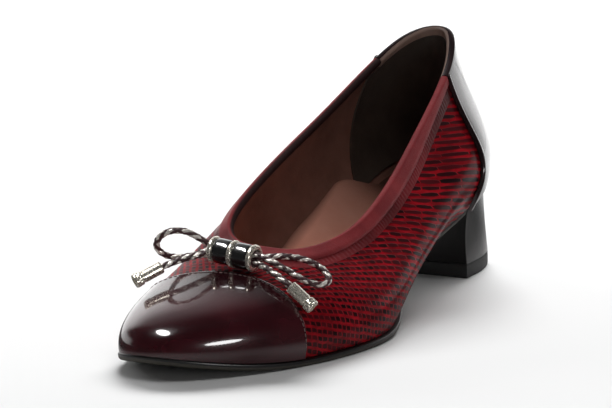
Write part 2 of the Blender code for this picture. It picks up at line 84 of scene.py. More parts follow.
def add_camera():
    """Axes from two angles: back points to the camera, right is level and up is square to both."""
    turn, rise, roll = (math.radians(angle) for angle in (AZIMUTH, ELEVATION, ROLL))
    back = np.array([math.sin(turn) * math.cos(rise), -math.cos(turn) * math.cos(rise), math.sin(rise)])
    right = np.array([math.cos(turn), math.sin(turn), 0.0])
    up = np.cross(back, right)
    rolled_right = right * math.cos(roll) + up * math.sin(roll)
    rolled_up = up * math.cos(roll) - right * math.sin(roll)
    data = bpy.data.cameras.new("camera")
    data.lens, data.sensor_width = LENS, SENSOR
    data.clip_start, data.clip_end = NEAREST, FARTHEST
    camera = bpy.data.objects.new("camera", data)
    stand(camera, rolled_right, rolled_up, back, place(AIM) + back * DISTANCE * MM)
    bpy.context.scene.camera = camera
    return camera


print("camera at", np.round(add_camera().matrix_world.translation, 3))

# %% [markdown]
# ## From rings of points to a mesh
#
# Nearly every piece of a shoe is a section carried along a line: a strip of leather along a seam, a cord
# along its route, a heel from its seat to the floor. So one helper joins rings of points into a closed
# skin. It checks the sign of the enclosed volume and turns the faces outwards if they point in.

# %% Helpers that make a piece
def loft(rows, columns, closed):
    """Quads between neighbouring rings of a grid; the end rings of an open loft are closed by rungs."""
    index = np.arange(rows * columns).reshape(rows, columns)
    index = np.hstack([index, index[:, :1]])
    ends = []
    if closed:
        index = np.vstack([index, index[:1]])
    else:
        step = np.arange(columns // 2 - 1)
        rung = np.stack([step, step + 1, columns - 2 - step, columns - 1 - step], 1)
        ends = [rung, rung[:, ::-1] + (rows - 1) * columns]
    sides = np.stack([index[:-1, :-1], index[1:, :-1], index[1:, 1:], index[:-1, 1:]], -1)
    return np.vstack([sides.reshape(-1, 4), *ends])


def add_mesh(name, points, quads, slot, replaces=(), values=None, uv=None, sharp=40.0):
    """A piece that rides on the shoe, with a number per point for each of values and a map from uv."""
    world = place(points)
    a, b, c, d = (world[quads[:, corner]] for corner in range(4))
    if (np.cross(a, b) * c + np.cross(a, c) * d).sum() < 0:
        quads = quads[:, ::-1]
    mesh = bpy.data.meshes.new(name)
    mesh.vertices.add(len(world))
    mesh.vertices.foreach_set("co", world.astype(np.float32).ravel())
    mesh.loops.add(quads.size)
    mesh.loops.foreach_set("vertex_index", quads.astype(np.int32).ravel())
    mesh.polygons.add(len(quads))
    mesh.polygons.foreach_set("loop_start", np.arange(0, quads.size, 4, dtype=np.int32))
    mesh.update(calc_edges=True)
    for key, numbers in (values or {}).items():
        layer = mesh.attributes.new(key, "FLOAT", "POINT")
        layer.data.foreach_set("value", np.asarray(numbers, np.float32).ravel())
    if uv is not None:
        corners = uv.reshape(-1, 2)[quads.ravel()]
        mesh.uv_layers.new(name="UVMap").uv.foreach_set("vector", corners.astype(np.float32).ravel())
    mesh.shade_smooth()
    mesh.set_sharp_from_angle(angle=math.radians(sharp))
    obj = bpy.data.objects.new(name, mesh)
    bpy.context.collection.objects.link(obj)
    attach(obj, "root")
    if replaces:
        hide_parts(*replaces)
    print(f"{name}: {2 * len(quads)} triangles")
    return obj


def add_loft(name, rings, slot, closed=False, **more):
    """A piece from a grid of rings, indexed along the piece and then round the ring."""
    return add_mesh(name, rings.reshape(-1, 3), loft(*rings.shape[:2], closed), slot, **more)


def skin(outside, inside):
    """Rings that run along the outside of a sheet and back along its inside."""
    return np.concatenate([outside, inside[:, ::-1]], 1)


def unit(vectors):
    """Vectors divided by their lengths."""
    return vectors / np.linalg.norm(vectors, axis=-1, keepdims=True)


def path_length(points):
    """Distance along a line of points, starting at zero."""
    return np.concatenate([[0.0], np.cumsum(np.linalg.norm(np.diff(points, axis=0), axis=1))])


# %% [markdown]
# ## The bow's cord
#
# One limp cord, 2.7 mm thick, makes the whole bow: a tail, two loops and a tail, with a run through the
# barrel between each. Its route is a list of places on the vamp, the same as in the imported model, and a
# smooth curve through them gives even points. Cords come early because a route that is wrong has to
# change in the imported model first.

# %% The cord's route
CORD_DIAMETER = 2.7
BARREL_OUTER, BARREL_INNER = (4.3, 192.7, 37.35), (-15.1, 191.0, 38.95)
BARREL_UP = (0.0, 0.3, 0.95)                # square to the vamp under the barrel
RUNS, RUN_RADIUS, RUN_START, RUN_TWIST, RUN_STEPS = 3, 1.85, -30.0, 120.0, 5      # mm and degrees
FERRULE_INSERT = 7.0                        # how far the cord runs into the metal ends
OUTER_TAIL = ((23.4, 201.0, 30.1), (19.1, 200.1, 32.4), (12.9, 197.7, 34.5), (8.4, 195.3, 35.5))
INNER_LOOP = ((-19.2, 193.2, 43.1), (-24.4, 195.4, 46.0), (-30.2, 197.6, 46.0), (-34.6, 198.2, 43.2),
              (-36.6, 196.6, 39.2), (-35.0, 193.8, 35.8), (-30.2, 191.5, 34.6), (-24.2, 189.6, 35.7),
              (-19.0, 189.1, 37.5))
OUTER_LOOP = ((9.8, 193.7, 37.7), (16.4, 193.3, 34.9), (22.4, 192.8, 31.9), (27.4, 191.5, 29.6),
              (30.8, 187.8, 28.8), (30.3, 182.7, 30.1), (25.7, 180.6, 33.3), (19.5, 182.1, 36.2),
              (12.7, 186.3, 37.7), (8.4, 188.9, 37.6))
INNER_TAIL = ((-19.6, 194.7, 37.1), (-24.9, 199.2, 35.6), (-30.3, 204.4, 33.4))
OUTER_END, INNER_END = (32.6, 200.5, 22.5), (-37.6, 212.3, 28.8)
ROUTE_STEPS, CORD_ROWS = 16, 1400


def barrel_frame():
    """Axis of the bow's barrel from its outer end, and the front and upper directions square to it."""
    axis = unit(np.subtract(BARREL_INNER, BARREL_OUTER))
    up = unit(np.array(BARREL_UP) - np.dot(BARREL_UP, axis) * axis)
    return axis, np.cross(axis, up), up


def barrel_run(index):
    """One of three runs through the barrel: a point on a circle that turns as it goes along the axis."""
    _, front, up = barrel_frame()
    share = np.linspace(0, 1, RUN_STEPS)[:, None]
    angle = np.radians(RUN_START + 360 / RUNS * index + RUN_TWIST * share)
    middle = np.array(BARREL_OUTER) + np.subtract(BARREL_INNER, BARREL_OUTER) * share
    return middle + RUN_RADIUS * (np.cos(angle) * front + np.sin(angle) * up)


def insert(mouth, end):
    """The end of the cord inside a metal end, from its tip to near the mouth."""
    return np.array(mouth) + np.array([[1.0], [0.5]]) * FERRULE_INSERT * unit(np.subtract(end, mouth))


def smooth_route(points, count):
    """Even points on a smooth curve: each span blends four neighbours by the ways between them."""
    points = np.vstack([2 * points[0] - points[1], points, 2 * points[-1] - points[-2]])
    step = np.sqrt(np.linalg.norm(np.diff(points, axis=0), axis=1))
    knot = np.concatenate([[0], np.cumsum(step)])
    spans = np.arange(1, len(points) - 2)
    share = np.linspace(0, 1, ROUTE_STEPS, endpoint=False)
    t = (knot[spans, None] + step[spans, None] * share)[..., None]
    rows = [points[spans + k - 1][:, None, :] for k in range(4)]
    for width in (1, 2, 3):
        low = [knot[spans + k - 1][:, None, None] for k in range(4 - width)]
        high = [knot[spans + k - 1 + width][:, None, None] for k in range(4 - width)]
        rows = [((high[k] - t) * rows[k] + (t - low[k]) * rows[k + 1]) / (high[k] - low[k])
                for k in range(4 - width)]
    curve = np.vstack([rows[0].reshape(-1, 3), points[-2:-1]])
    length = path_length(curve)
    even = np.linspace(0, length[-1], count)
    return np.stack([np.interp(even, length, column) for column in curve.T], 1)


cord_path = smooth_route(
    np.vstack([insert(OUTER_TAIL[0], OUTER_END), OUTER_TAIL, barrel_run(0), INNER_LOOP,
               barrel_run(1)[::-1], OUTER_LOOP, barrel_run(2), INNER_TAIL,
               insert(INNER_TAIL[-1], INNER_END)[::-1]]), CORD_ROWS)

# %% [markdown]
# ## The cord's braid
#
# Eight strands make the braid, four going round each way, each over one and under the next. Modelling
# eight wires would be slow, and only the upper side of each ever shows. So the cord is one tube whose
# radius rises and falls with the strands: at every point one strand of each set crosses, and the higher
# one is kept. A number on each point says whether that strand is silver or dark.

# %% Make the braided cord
BRAID_PITCH = 11.0                          # one turn of a strand, mm
EACH_WAY = 4                                # strands that go round the same way
STRAND_ROUND, STRAND_CROSS = 0.24, 0.18     # height of a strand's round back, and of its ups and downs
CORD_SIDES = 40


def braid(turn, along):
    """Height of the braid and the strand on top: two sets of strands, each a round back plus a wave.

    Every other strand of the first set and one strand of the second are silver."""
    first, second = EACH_WAY * (turn - along / BRAID_PITCH), EACH_WAY * (turn + along / BRAID_PITCH)
    a, b = np.floor(first), np.floor(second)
    u, w = first - a - 0.5, second - b - 0.5
    over = np.where(np.mod(a + b, 2) == 0, 1.0, -1.0)
    high_a = STRAND_ROUND * (1 - 4 * u**2) + STRAND_CROSS * over * np.cos(np.pi * w)
    high_b = STRAND_ROUND * (1 - 4 * w**2) - STRAND_CROSS * over * np.cos(np.pi * u)
    silver = np.where(high_a >= high_b, np.mod(a, 2) == 1, np.mod(b, EACH_WAY) == 0)
    return np.maximum(high_a, high_b), silver


def level_frames(path):
    """Two directions square to the path, which don't twist: the twist is summed and undone."""
    along = unit(np.gradient(path, axis=0))
    side = unit(np.cross(along, BARREL_UP))
    other = np.cross(along, side)
    slip = np.einsum("ij,ij->i", along[:-1], np.cross(side[:-1], side[1:]))
    twist = -np.concatenate([[0.0], np.cumsum(np.arcsin(np.clip(slip, -1, 1)))])[:, None]
    return side * np.cos(twist) + other * np.sin(twist), other * np.cos(twist) - side * np.sin(twist)


turn = np.linspace(0, 1, CORD_SIDES, endpoint=False)[None, :]
relief, silver = braid(turn, path_length(cord_path)[:, None])
radius = (CORD_DIAMETER / 2 - STRAND_ROUND - STRAND_CROSS + relief)[..., None]
side, other = level_frames(cord_path)
angle = 2 * np.pi * turn[..., None]
outwards = np.cos(angle) * side[:, None] + np.sin(angle) * other[:, None]
cord_rings = cord_path[:, None] + radius * outwards
bow_braid = add_loft("bow_braid", cord_rings, "braided_cord", replaces=["bow_cord"],
                     values={"silver": silver}, sharp=60)

# %% [markdown]
# ## The cord's metal ends
#
# A short silver tube is crimped on each end of the cord, with two rounds of small punched dents near its
# thicker tip. Turning a profile about the tube's axis is the way a lathe makes it. The dents are pressed
# in by lowering the radius where two rounds of bumps say so.

FERRULE_LONG, FERRULE_BORE, FERRULE_STEPS = 12.0, 1.7, 60
FERRULE_PROFILE = ((0.0, 2.1), (0.15, 2.3), (0.6, 2.38), (7.9, 2.45), (8.2, 2.2), (8.55, 2.2),
                   (8.8, 2.65), (9.1, 2.78), (11.4, 2.85), (11.75, 2.78), (11.95, 2.62), (12.0, 2.4))
DENTS, DENT_ROWS, DENT_DEEP, DENT_LONG = 10, (9.7, 10.8), 0.4, 0.38
TURNED_SIDES = 72


def turned(start, end, profile, dents=None):
    """A closed profile of (along, radius) carried round the line from start to end."""
    axis = unit(np.subtract(end, start))
    across = unit(np.cross(axis, (0.0, 0.0, 1.0)))
    other = np.cross(axis, across)
    angle = np.linspace(0, 2 * np.pi, TURNED_SIDES, endpoint=False)[:, None]
    along, radius = np.array(profile, float).T
    radius = radius - (0 if dents is None else dents(angle, along, radius))
    round_it = np.cos(angle)[..., None] * across + np.sin(angle)[..., None] * other
    return np.array(start) + along[None, :, None] * axis + np.atleast_2d(radius)[..., None] * round_it


def punched(angle, along, radius):
    """Depth of two staggered rounds of dents: high where the angle and the place along are near a dent."""
    first, second = (np.exp(-((along - row) / DENT_LONG) ** 2) for row in DENT_ROWS)
    even, odd = ((0.5 + sign * 0.5 * np.cos(DENTS * angle)) ** 3 for sign in (1, -1))
    return DENT_DEEP * (first * even + second * odd) * (radius > FERRULE_BORE + 0.1)


def finer(profile, count):
    """The same profile with count points spread along it as well as its corners."""
    profile = np.array(profile, float)
    length = path_length(profile)
    at = np.union1d(length, np.linspace(0, length[-1], count))
    return np.stack([np.interp(at, length, column) for column in profile.T], 1)


ferrule = np.vstack([finer(FERRULE_PROFILE, FERRULE_STEPS),
                     [(FERRULE_LONG, FERRULE_BORE), (0.0, FERRULE_BORE)]])
ferrules = [add_loft(f"ferrule_{which}", turned(mouth, end, ferrule, punched), "silver_metal", closed=True,
                     replaces=[f"cord_end_{which}"])
            for which, mouth, end in (("outer", OUTER_TAIL[0], OUTER_END),
                                      ("inner", INNER_TAIL[-1], INNER_END))]

# %% [markdown]
# ## The bow's barrel
#
# Two dark drums sit between three rounded silver rings, and the cord runs through them all. Each is
# turned like the metal ends. A ring's back is a half round, and a drum swells slightly in the middle, so
# that each catches one clean highlight.

# %% Make the rings and drums
BORE, GAP = 3.55, 0.3
RING_LONG, RING_RADIUS, RING_BACK, RING_STEPS = 1.8, 5.3, 0.7, 15
DRUM_LONG, DRUM_RADIUS, DRUM_EASE, DRUM_SWELL, DRUM_STEPS = 6.5, 4.95, 0.25, 0.08, 21


def eased(count):
    """Shares from 0 to 1 that crowd towards both ends, as a cosine does."""
    return 0.5 - 0.5 * np.cos(np.linspace(0, np.pi, count))


def ring_profile(start):
    """A half round between two low flanks, closed along the bore."""
    angle = np.linspace(np.pi, 0, RING_STEPS)
    along = start + RING_LONG / 2 * (1 + np.cos(angle))
    back = np.stack([along, RING_RADIUS - RING_BACK + RING_BACK * np.sin(angle)], 1)
    return np.vstack([back, [(start + RING_LONG, BORE), (start, BORE)]])


def drum_profile(start):
    """A shallow swell between eased ends, closed along the bore."""
    share = eased(DRUM_STEPS)
    from_middle = np.abs(2 * share - 1)
    radius = DRUM_RADIUS - DRUM_EASE * from_middle**6 - DRUM_SWELL * from_middle**2
    back = np.stack([start + DRUM_LONG * share, radius], 1)
    return np.vstack([back, [(start + DRUM_LONG, BORE), (start, BORE)]])


barrel = []
along_barrel = 0.0
for number in range(5):
    kind, long, profile, slot = (("ring", RING_LONG, ring_profile, "silver_metal"),
                                 ("drum", DRUM_LONG, drum_profile, "black_enamel"))[number % 2]
    label = f"{kind}_{number // 2 + 1}"
    rings = turned(BARREL_OUTER, BARREL_INNER, profile(along_barrel))
    barrel.append(add_loft(f"barrel_{label}", rings, slot, closed=True, replaces=[f"bow_{label}"]))
    along_barrel += long + GAP

# %% [markdown]
# ## The last
#
# A shoe's upper is pulled over a last, the foot-shaped block it is made on, so its shape is the last's.
# Here that is a table of sections round the foot. Each row gives a point of the foot outline, a point
# of the rim, and how the wall leans at both. A closed spline joins the rows, and a cubic curve with two
# handles rises from the foot to the rim. Every piece of leather is later cut from this one function.

# %% The last's surface
LENGTH, SEAT_UP, SOLE_UP, TOE_SPRING, FLAT_REAR, FLAT_FRONT = 246.0, 37.5, 3.0, 6.5, 160.0, 200.0
WALL, WALL_STEPS = 1.8, 60
SECTION_COLUMNS = ("foot_forward", "foot_out", "rim_forward", "rim_out", "rim_up",
                   "flare", "rise", "lean", "reach")
SECTIONS = (
    (6, 0, 15, -2, 97, 8, 25, 10, 26),
    (12, 12.5, 19, 3.5, 94.5, 9, 26, 11, 27),
    (25, 20.5, 30, 8.5, 88, 15, 26, 15, 29),
    (48, 24, 49, 13, 79, 30, 27, 23, 29),
    (81, 21, 80, 17, 64.5, 50, 27, 26, 27),
    (113, 26.5, 109, 20, 51.5, 45, 25, 32, 23),
    (142, 37.5, 137, 20.5, 41.5, 25, 20, 41, 19),
    (170, 38.5, 158, 17.5, 37.5, 13, 17, 55, 21),
    (199, 30.5, 169, 13, 36.5, 8, 17, 64, 29),
    (224, 16, 174, 8, 36.5, 7, 16.5, 68, 37),
    (240, 0.5, 176, 2.5, 37, 7, 16.5, 68, 40),
    (245, -11, 177, -2.5, 37.5, 8, 16.5, 67, 40),
    (242, -23, 177, -8, 38, 8, 16.5, 65, 38),
    (232, -32.5, 175.5, -14, 39.5, 8, 15.5, 62, 33),
    (212, -36, 170, -19.5, 43, 10, 14.5, 58, 26),
    (185, -36, 157, -22.5, 48.5, 16, 14.5, 50, 20),
    (154, -31, 136, -24, 55, 28, 16, 41, 17),
    (119, -20.5, 108, -24.5, 63, 48, 18, 36, 19),
    (84, -16.5, 79, -23.5, 72, 50, 20, 32, 21),
    (48, -20, 47, -20, 85, 28, 22, 27, 24),
    (25, -19.5, 28, -14.5, 94, 15, 23.5, 18, 25),
    (11, -12, 17.5, -8.5, 97, 10, 25, 12, 26),
)


def smooth_step(value, low, high):
    """An S from 0 at low to 1 at high: three times the share squared less twice its cube."""
    share = np.clip((value - low) / (high - low), 0, 1)
    return 3 * share**2 - 2 * share**3


def sole_line(forward):
    """Height of the upper's lower edge: an S from the seat down the arch, a flat, a parabola at the toe."""
    front = np.maximum((forward - FLAT_FRONT) / (LENGTH - FLAT_FRONT), 0)
    return SOLE_UP + (SEAT_UP - SOLE_UP) * smooth_step(forward, FLAT_REAR, 0.0) + TOE_SPRING * front**2


def spline_bends(knots, values):
    """Second derivatives of a closed cubic spline: one equation per row, solved together."""
    width = np.diff(knots)
    before, after = np.roll(width, 1)[:, None], width[:, None]
    row = np.arange(len(values))
    system = np.zeros((len(values), len(values)))
    system[row, row - 1] = before[:, 0]
    system[row, row] = 2 * (before + after)[:, 0]
    system[row, (row + 1) % len(values)] = after[:, 0]
    slopes = (np.roll(values, -1, 0) - values) / after
    return np.linalg.solve(system, 6 * (slopes - np.roll(slopes, 1, 0)))


table = np.array(SECTIONS, float)
knot_step = np.sqrt(np.linalg.norm(np.roll(table[:, :2], -1, 0) - table[:, :2], axis=1))
knots = np.concatenate([[0.0], np.cumsum(knot_step)]) / knot_step.sum()
bends = spline_bends(knots, table)


def section(v):
    """The table's columns at places v round the shoe, from 0 to 1, on the closed cubic spline."""
    at = np.mod(np.asarray(v, float), 1.0)
    i = np.clip(np.searchsorted(knots, at, side="right") - 1, 0, len(table) - 1)
    j = (i + 1) % len(table)
    width = (knots[i + 1] - knots[i])[:, None]
    u = (at - knots[i])[:, None] / width
    w = 1 - u
    rows = w * table[i] + u * table[j] + width**2 / 6 * ((w**3 - w) * bends[i] + (u**3 - u) * bends[j])
    return dict(zip(SECTION_COLUMNS, rows.T))


def foot_line(v):
    """Points of the foot outline (out, forward) and its outward directions, a quarter turn off its run."""
    small = 1e-4
    here, before, after = section(v), section(v - small), section(v + small)
    normal = np.stack([after["foot_forward"] - before["foot_forward"],
                       before["foot_out"] - after["foot_out"]], 1)
    return np.stack([here["foot_out"], here["foot_forward"]], 1), unit(normal)


def wall(v, t):
    """Points v round the shoe and t up the wall: a cubic curve with handles at the foot and the rim."""
    here = section(v)
    foot, normal = foot_line(v)
    flare, lean = np.radians(here["flare"])[:, None], np.radians(here["lean"])[:, None]
    low = np.concatenate([foot, sole_line(foot[:, 1])[:, None]], 1)
    high = np.stack([here["rim_out"], here["rim_forward"], here["rim_up"]], 1)
    knee = low + here["rise"][:, None] * np.concatenate([normal * np.sin(flare), np.cos(flare)], 1)
    shoulder = high + here["reach"][:, None] * np.concatenate([normal * np.sin(lean), -np.cos(lean)], 1)
    t = np.asarray(t, float)[:, None]
    s = 1 - t
    return s**3 * low + 3 * s**2 * t * knee + 3 * s * t**2 * shoulder + t**3 * high


def surface(v, t, lift=0.0):
    """Points of a grid (v, t) of the wall, moved out by lift, with the outward and upward directions."""
    v, t = np.broadcast_arrays(np.asarray(v, float), np.asarray(t, float))
    shape, v, t = v.shape, v.ravel(), t.ravel()
    small = 1e-3
    up = unit(wall(v, t + small) - wall(v, t - small))
    out = unit(np.cross(wall(v + small, t) - wall(v - small, t), up))
    points = wall(v, t) + np.broadcast_to(lift, shape).reshape(-1, 1) * out
    return points.reshape(*shape, 3), out.reshape(*shape, 3), up.reshape(*shape, 3)


def sheet(v, t, over, under):
    """Rings of a sheet that lies between two lifts of the wall's surface."""
    return skin(surface(v, t, over)[0], surface(v, t, under)[0])


def wall_length(v):
    """Length of the wall from the foot outline to the rim at places v, mm."""
    grid = surface(v[:, None], np.linspace(0, 1, WALL_STEPS)[None, :])[0]
    return np.linalg.norm(np.diff(grid, axis=1), axis=2).sum(1)


heel_wall, toe_wall = wall_length(np.array([0.0, 0.5]))
print(f"wall at the heel {heel_wall:.1f} mm, at the toe {toe_wall:.1f} mm")

# %% [markdown]
# ## The upper's leather and lining
#
# The wall of the shoe is two layers: embossed leather outside and a brown lining inside, each about a
# millimetre. Both are sheets between two lifts of the last's surface. The embossed scales lie in rows
# that sink a little towards the heel, so the leather gets a map of its own: one number grows forward, one
# column at a time, and the other is the way up the wall along a section of constant forward distance.

# %% Make the two layers of the upper
LEATHER, LINING_GAP = 1.0, 0.05
ROW_PITCH = 2.85                            # height of a row of scales, mm
ROW_TILT = 0.29                             # how far a row sinks for each mm towards the heel
COLUMN_AT = (0, 50, 80, 120, 150, 170, 250)         # forward distances, mm
COLUMN_PITCH = (20, 18, 13, 6.5, 3.2, 2.5, 2.4)     # width of a scale there
COLUMN_STEP = 0.5                           # step in which the columns are counted, mm
HIDDEN_WIDTH = 3.0                          # width of a scale on the leather's hidden back
UPPER_ROUND, UPPER_STEPS, BACK_STEPS, LINING_STEPS = 480, 90, 12, 40


def scale_width(forward):
    """Width of a scale, read between the distances where it is given."""
    return np.interp(forward, COLUMN_AT, COLUMN_PITCH)


def column_number(forward):
    """Columns of scales counted from the heel: each step adds its own length over the width there."""
    at = np.arange(0, COLUMN_AT[-1] + COLUMN_STEP, COLUMN_STEP)
    columns = np.cumsum(COLUMN_STEP / scale_width(at))
    return np.interp(forward, at, np.concatenate([[0], columns[:-1]]))


def way_up(points):
    """Height of the foot plus the way up the wall at one forward distance, for a grid of one side."""
    forward = np.arange(LENGTH + 1)
    at = np.stack([[np.interp(forward, row[:, 1], row[:, axis]) for axis in range(3)]
                   for row in points.transpose(1, 0, 2)], 0).transpose(0, 2, 1)
    rise = np.linalg.norm(np.diff(at, axis=0), axis=2)
    total = sole_line(forward) + np.vstack([np.zeros(len(forward)), np.cumsum(rise, axis=0)])
    return np.stack([np.interp(points[:, row, 1], forward, line) for row, line in enumerate(total)], 1)


round_v = np.arange(UPPER_ROUND)[:, None] / UPPER_ROUND
leather_face = surface(round_v, np.linspace(0, 1, UPPER_STEPS + 1)[None, :])[0]
tip = leather_face[:, 0, 1].argmax()
rows_up = np.zeros(leather_face.shape[:2])
for one_side in (np.arange(0, tip + 1), np.arange(UPPER_ROUND - 1, tip, -1)):
    rows_up[one_side] = way_up(leather_face[one_side])
rows_up += ROW_TILT * (LENGTH - leather_face[..., 1])
leather_map = np.stack([column_number(leather_face[..., 1]), rows_up / ROW_PITCH], -1)
leather_back = surface(round_v, np.linspace(0, 1, BACK_STEPS + 1)[None, :], -LEATHER)[0]
back_map = np.zeros(leather_back.shape[:2] + (2,))
widths = skin(scale_width(leather_face[..., 1]), np.full(leather_back.shape[:2], HIDDEN_WIDTH))
upper_leather = add_loft("upper_leather", skin(leather_face, leather_back), "red_leather", closed=True,
                         replaces=["upper"], uv=skin(leather_map, back_map),
                         values={"scale_width": widths})
lining_t = np.linspace(0, 1, LINING_STEPS + 1)[None, :]
upper_lining = add_loft("upper_lining", sheet(round_v[::2], lining_t, -LEATHER - LINING_GAP, -WALL),
                        "brown_lining", closed=True)

# %% [markdown]
# ## Cut edges
#
# A strip laid on a shoe has a cut edge that is dyed and polished round. So the thickness of each strip
# rises in a quarter circle over its last half millimetre. The steps across a strip crowd together there,
# and stay wide in the flat middle.

# %% Helpers for strips laid on the upper
LAID_GAP, LAID_THICK = 0.4, 0.9
EDGE_ROUND, EDGE_LEAST = 0.6, 0.02          # width of the rounding, mm, and the share of thickness left
NEAR_EDGE = (0.04, 0.15, 0.35, 0.65, 1.0)   # extra steps near an edge, as shares of a small width


def rounded(distance, thick=LAID_THICK, edge=EDGE_ROUND):
    """Thickness at a distance from a cut edge: a quarter circle, then flat."""
    return thick * np.sqrt(np.clip(1 - (1 - np.clip(distance / edge, 0, 1)) ** 2, EDGE_LEAST**2, 1))


def crowded(count, crowd_start=True, crowd_end=True, close=0.012):
    """Shares from 0 to 1 with extra steps close to the chosen ends."""
    near = close * np.array(NEAR_EDGE)
    extra = np.concatenate([near if crowd_start else [], 1 - near if crowd_end else []])
    return np.union1d(np.linspace(0, 1, count), extra)


# %% [markdown]
# ## The toe cap
#
# The cap is a piece of dark patent leather drawn over the toe, with its rear edge in an arc across the
# vamp. It follows the upper's own surface at a small lift, so it can't wander off it. For each place
# round the toe, the height at which the wall crosses the arc is found, and the cap is spread up to there.

# %% Make the toe cap
CAP_FORWARD, CAP_MIDDLE_OUT, CAP_SIDE_FORWARD, CAP_SIDE_OUT = 195.0, -7.0, 7.0, 34.0
CAP_FOOT, CAP_END = 0.004, 0.06             # shares of the wall: its lower edge, and its least height
CAP_SEARCH, SEARCH_STEPS = (0.3, 0.7), 800  # the places round the toe where it may lie
CAP_ROUND, CAP_STEPS = 181, 64


def cap_edge(v):
    """How far up the wall the cap reaches at v: where the wall crosses a shallow arc over the vamp."""
    t = np.linspace(0, 1, 200)
    grid = surface(v[:, None], t[None, :])[0]
    side = np.minimum(np.abs(grid[..., 0] - CAP_MIDDLE_OUT) / CAP_SIDE_OUT, 1.0)
    behind = CAP_FORWARD + CAP_SIDE_FORWARD * side**2 - grid[..., 1]
    return np.array([np.interp(0.0, row, t) for row in behind])


search = np.linspace(*CAP_SEARCH, SEARCH_STEPS)
covered = search[cap_edge(search) > CAP_FOOT + CAP_END]
cap_v = covered[0] + np.ptp(covered) * eased(CAP_ROUND)
cap_top = cap_edge(cap_v)
cap_share = crowded(CAP_STEPS, crowd_start=False, close=0.02)[None, :]
cap_t = CAP_FOOT + (cap_top - CAP_FOOT)[:, None] * cap_share
cap_reach = wall_length(cap_v)[:, None] * (cap_top[:, None] - cap_t)
toe_cap_patent = add_loft("toe_cap_patent",
                          sheet(cap_v[:, None], cap_t, LAID_GAP + rounded(cap_reach), LAID_GAP),
                          "dark_patent", replaces=["toe_cap"], sharp=50)

# %% [markdown]
# ## The heel counter
#
# A second piece of patent leather wraps the heel. Its front edges are piped: a thin cord is folded into
# the edge, so it stands up as a round bead. At the top it turns onto the edge of the collar, where a
# lip of lining meets it and runs down the inside; the lip is lining leather painted paler, a painted
# highlight for the light on the rim's edge. Half an ellipse about the rim carries both.

# %% Helpers for pieces round the heel
SIDE_REACH = 0.3                            # how far round the shoe its sides reach from the back


def rim_fold(rim_v, fold, lift, inner_lift, steps=12):
    """Part of an ellipse about the middle of the rim, between two angles in degrees."""
    rim, out, up = surface(rim_v, 1.0)
    angle = np.radians(np.linspace(*fold, steps))[None, :, None]
    reach = WALL / 2 + np.where(np.cos(angle) > 0, lift, inner_lift)
    return rim - WALL / 2 * out + reach * np.cos(angle) * out + lift * np.sin(angle) * up


def down_inside(rim_v, depth, lift):
    """Points down the inside of the wall from the rim, at depths in mm and lifts off the wall."""
    t = 1 - np.array([depth]) / wall_length(rim_v[:, 0])[:, None]
    return surface(rim_v, t, -WALL - np.array([lift]))[0]


def side_place(forward, t, sign):
    """Place v on one side of the heel where the wall, t up, lies at this forward distance."""
    v = np.linspace(0, SIDE_REACH, 200) * sign
    return np.interp(forward, surface(v, t)[0][:, 1], v)


def heel_edges(forward, t):
    """Places of a heel piece's two front edges, which lie at these forward distances, t up the wall."""
    return [np.array([side_place(*row, sign) for row in zip(forward, t)]) for sign in (-1, 1)]


# %% Make the heel counter
COUNTER_TOP_FORWARD, COUNTER_FOOT_FORWARD, COUNTER_FOOT = 42.0, 49.0, 0.006
COUNTER_ROUND, COUNTER_STEPS = 90, 50
COUNTER_FOLD, COUNTER_TURNED = (8, 92), (0.3, 0.1)      # degrees round the rim, and lifts past its middle
PIPE, PIPE_WIDTH, PIPE_STEPS = 0.7, 2.4, 12

counter_t = np.linspace(COUNTER_FOOT, 1, COUNTER_STEPS)
counter_forward = COUNTER_FOOT_FORWARD + (COUNTER_TOP_FORWARD - COUNTER_FOOT_FORWARD) * counter_t
counter_first, counter_last = heel_edges(counter_forward, counter_t)
lower_edge = surface(np.linspace(counter_first[0], counter_last[0], 200), COUNTER_FOOT)[0]
counter_width = path_length(lower_edge)[-1]
pipe = np.linspace(0, PIPE_WIDTH, PIPE_STEPS + 1) / counter_width
between_pipes = np.linspace(pipe[-1], 1 - pipe[-1], COUNTER_ROUND)
counter_share = np.concatenate([pipe[:-1], between_pipes, 1 - pipe[-2::-1]])[:, None]
from_edge = np.minimum(counter_share, 1 - counter_share) * counter_width
bead = PIPE * np.sqrt(np.clip(1 - (2 * np.minimum(from_edge / PIPE_WIDTH, 1) - 1) ** 2, 0, 1))
counter_v = counter_first + (counter_last - counter_first) * counter_share
counter_rim = counter_v[:, -1:]
counter_lifts = (LAID_GAP + rounded(from_edge) + bead, LAID_GAP)
counter_faces = [np.concatenate([surface(counter_v, counter_t, lift)[0],
                                 rim_fold(counter_rim, COUNTER_FOLD, rim_lift, turned_lift)], 1)
                 for lift, rim_lift, turned_lift in zip(counter_lifts, (LAID_GAP + LAID_THICK, LAID_GAP),
                                                        COUNTER_TURNED)]
counter_patent = add_loft("counter_patent", skin(*counter_faces), "dark_patent",
                          replaces=["heel_counter"], sharp=50)

# %% Make the lip inside the counter's top
LIP_FOLD = (84, 178)                        # degrees round the rim
LIP_DEPTH = (0.3, 1.2, 2.4, 3.2, 3.6)       # how far down it goes inside, mm
LIP_LIFTS = ((1.05, 0.5, (0.5, 0.5, 0.45, 0.3, 0.12)),      # lifts over the rim, past its middle, and down
             (0.3, 0.03, 0.03))

lip_faces = [np.concatenate([rim_fold(counter_rim, LIP_FOLD, rim_lift, turned_lift),
                             down_inside(counter_rim, LIP_DEPTH, down_lift)], 1)
             for rim_lift, turned_lift, down_lift in LIP_LIFTS]
collar_lip = add_loft("collar_lip", skin(*lip_faces), "brown_lining", sharp=60)

# %% [markdown]
# ## The heel's own lining
#
# Round the heel a second, greyer piece of lining covers the first, so that the foot doesn't slip. Its
# front edges show as a seam on the inside walls. It is one more sheet, laid on the inside of the wall.

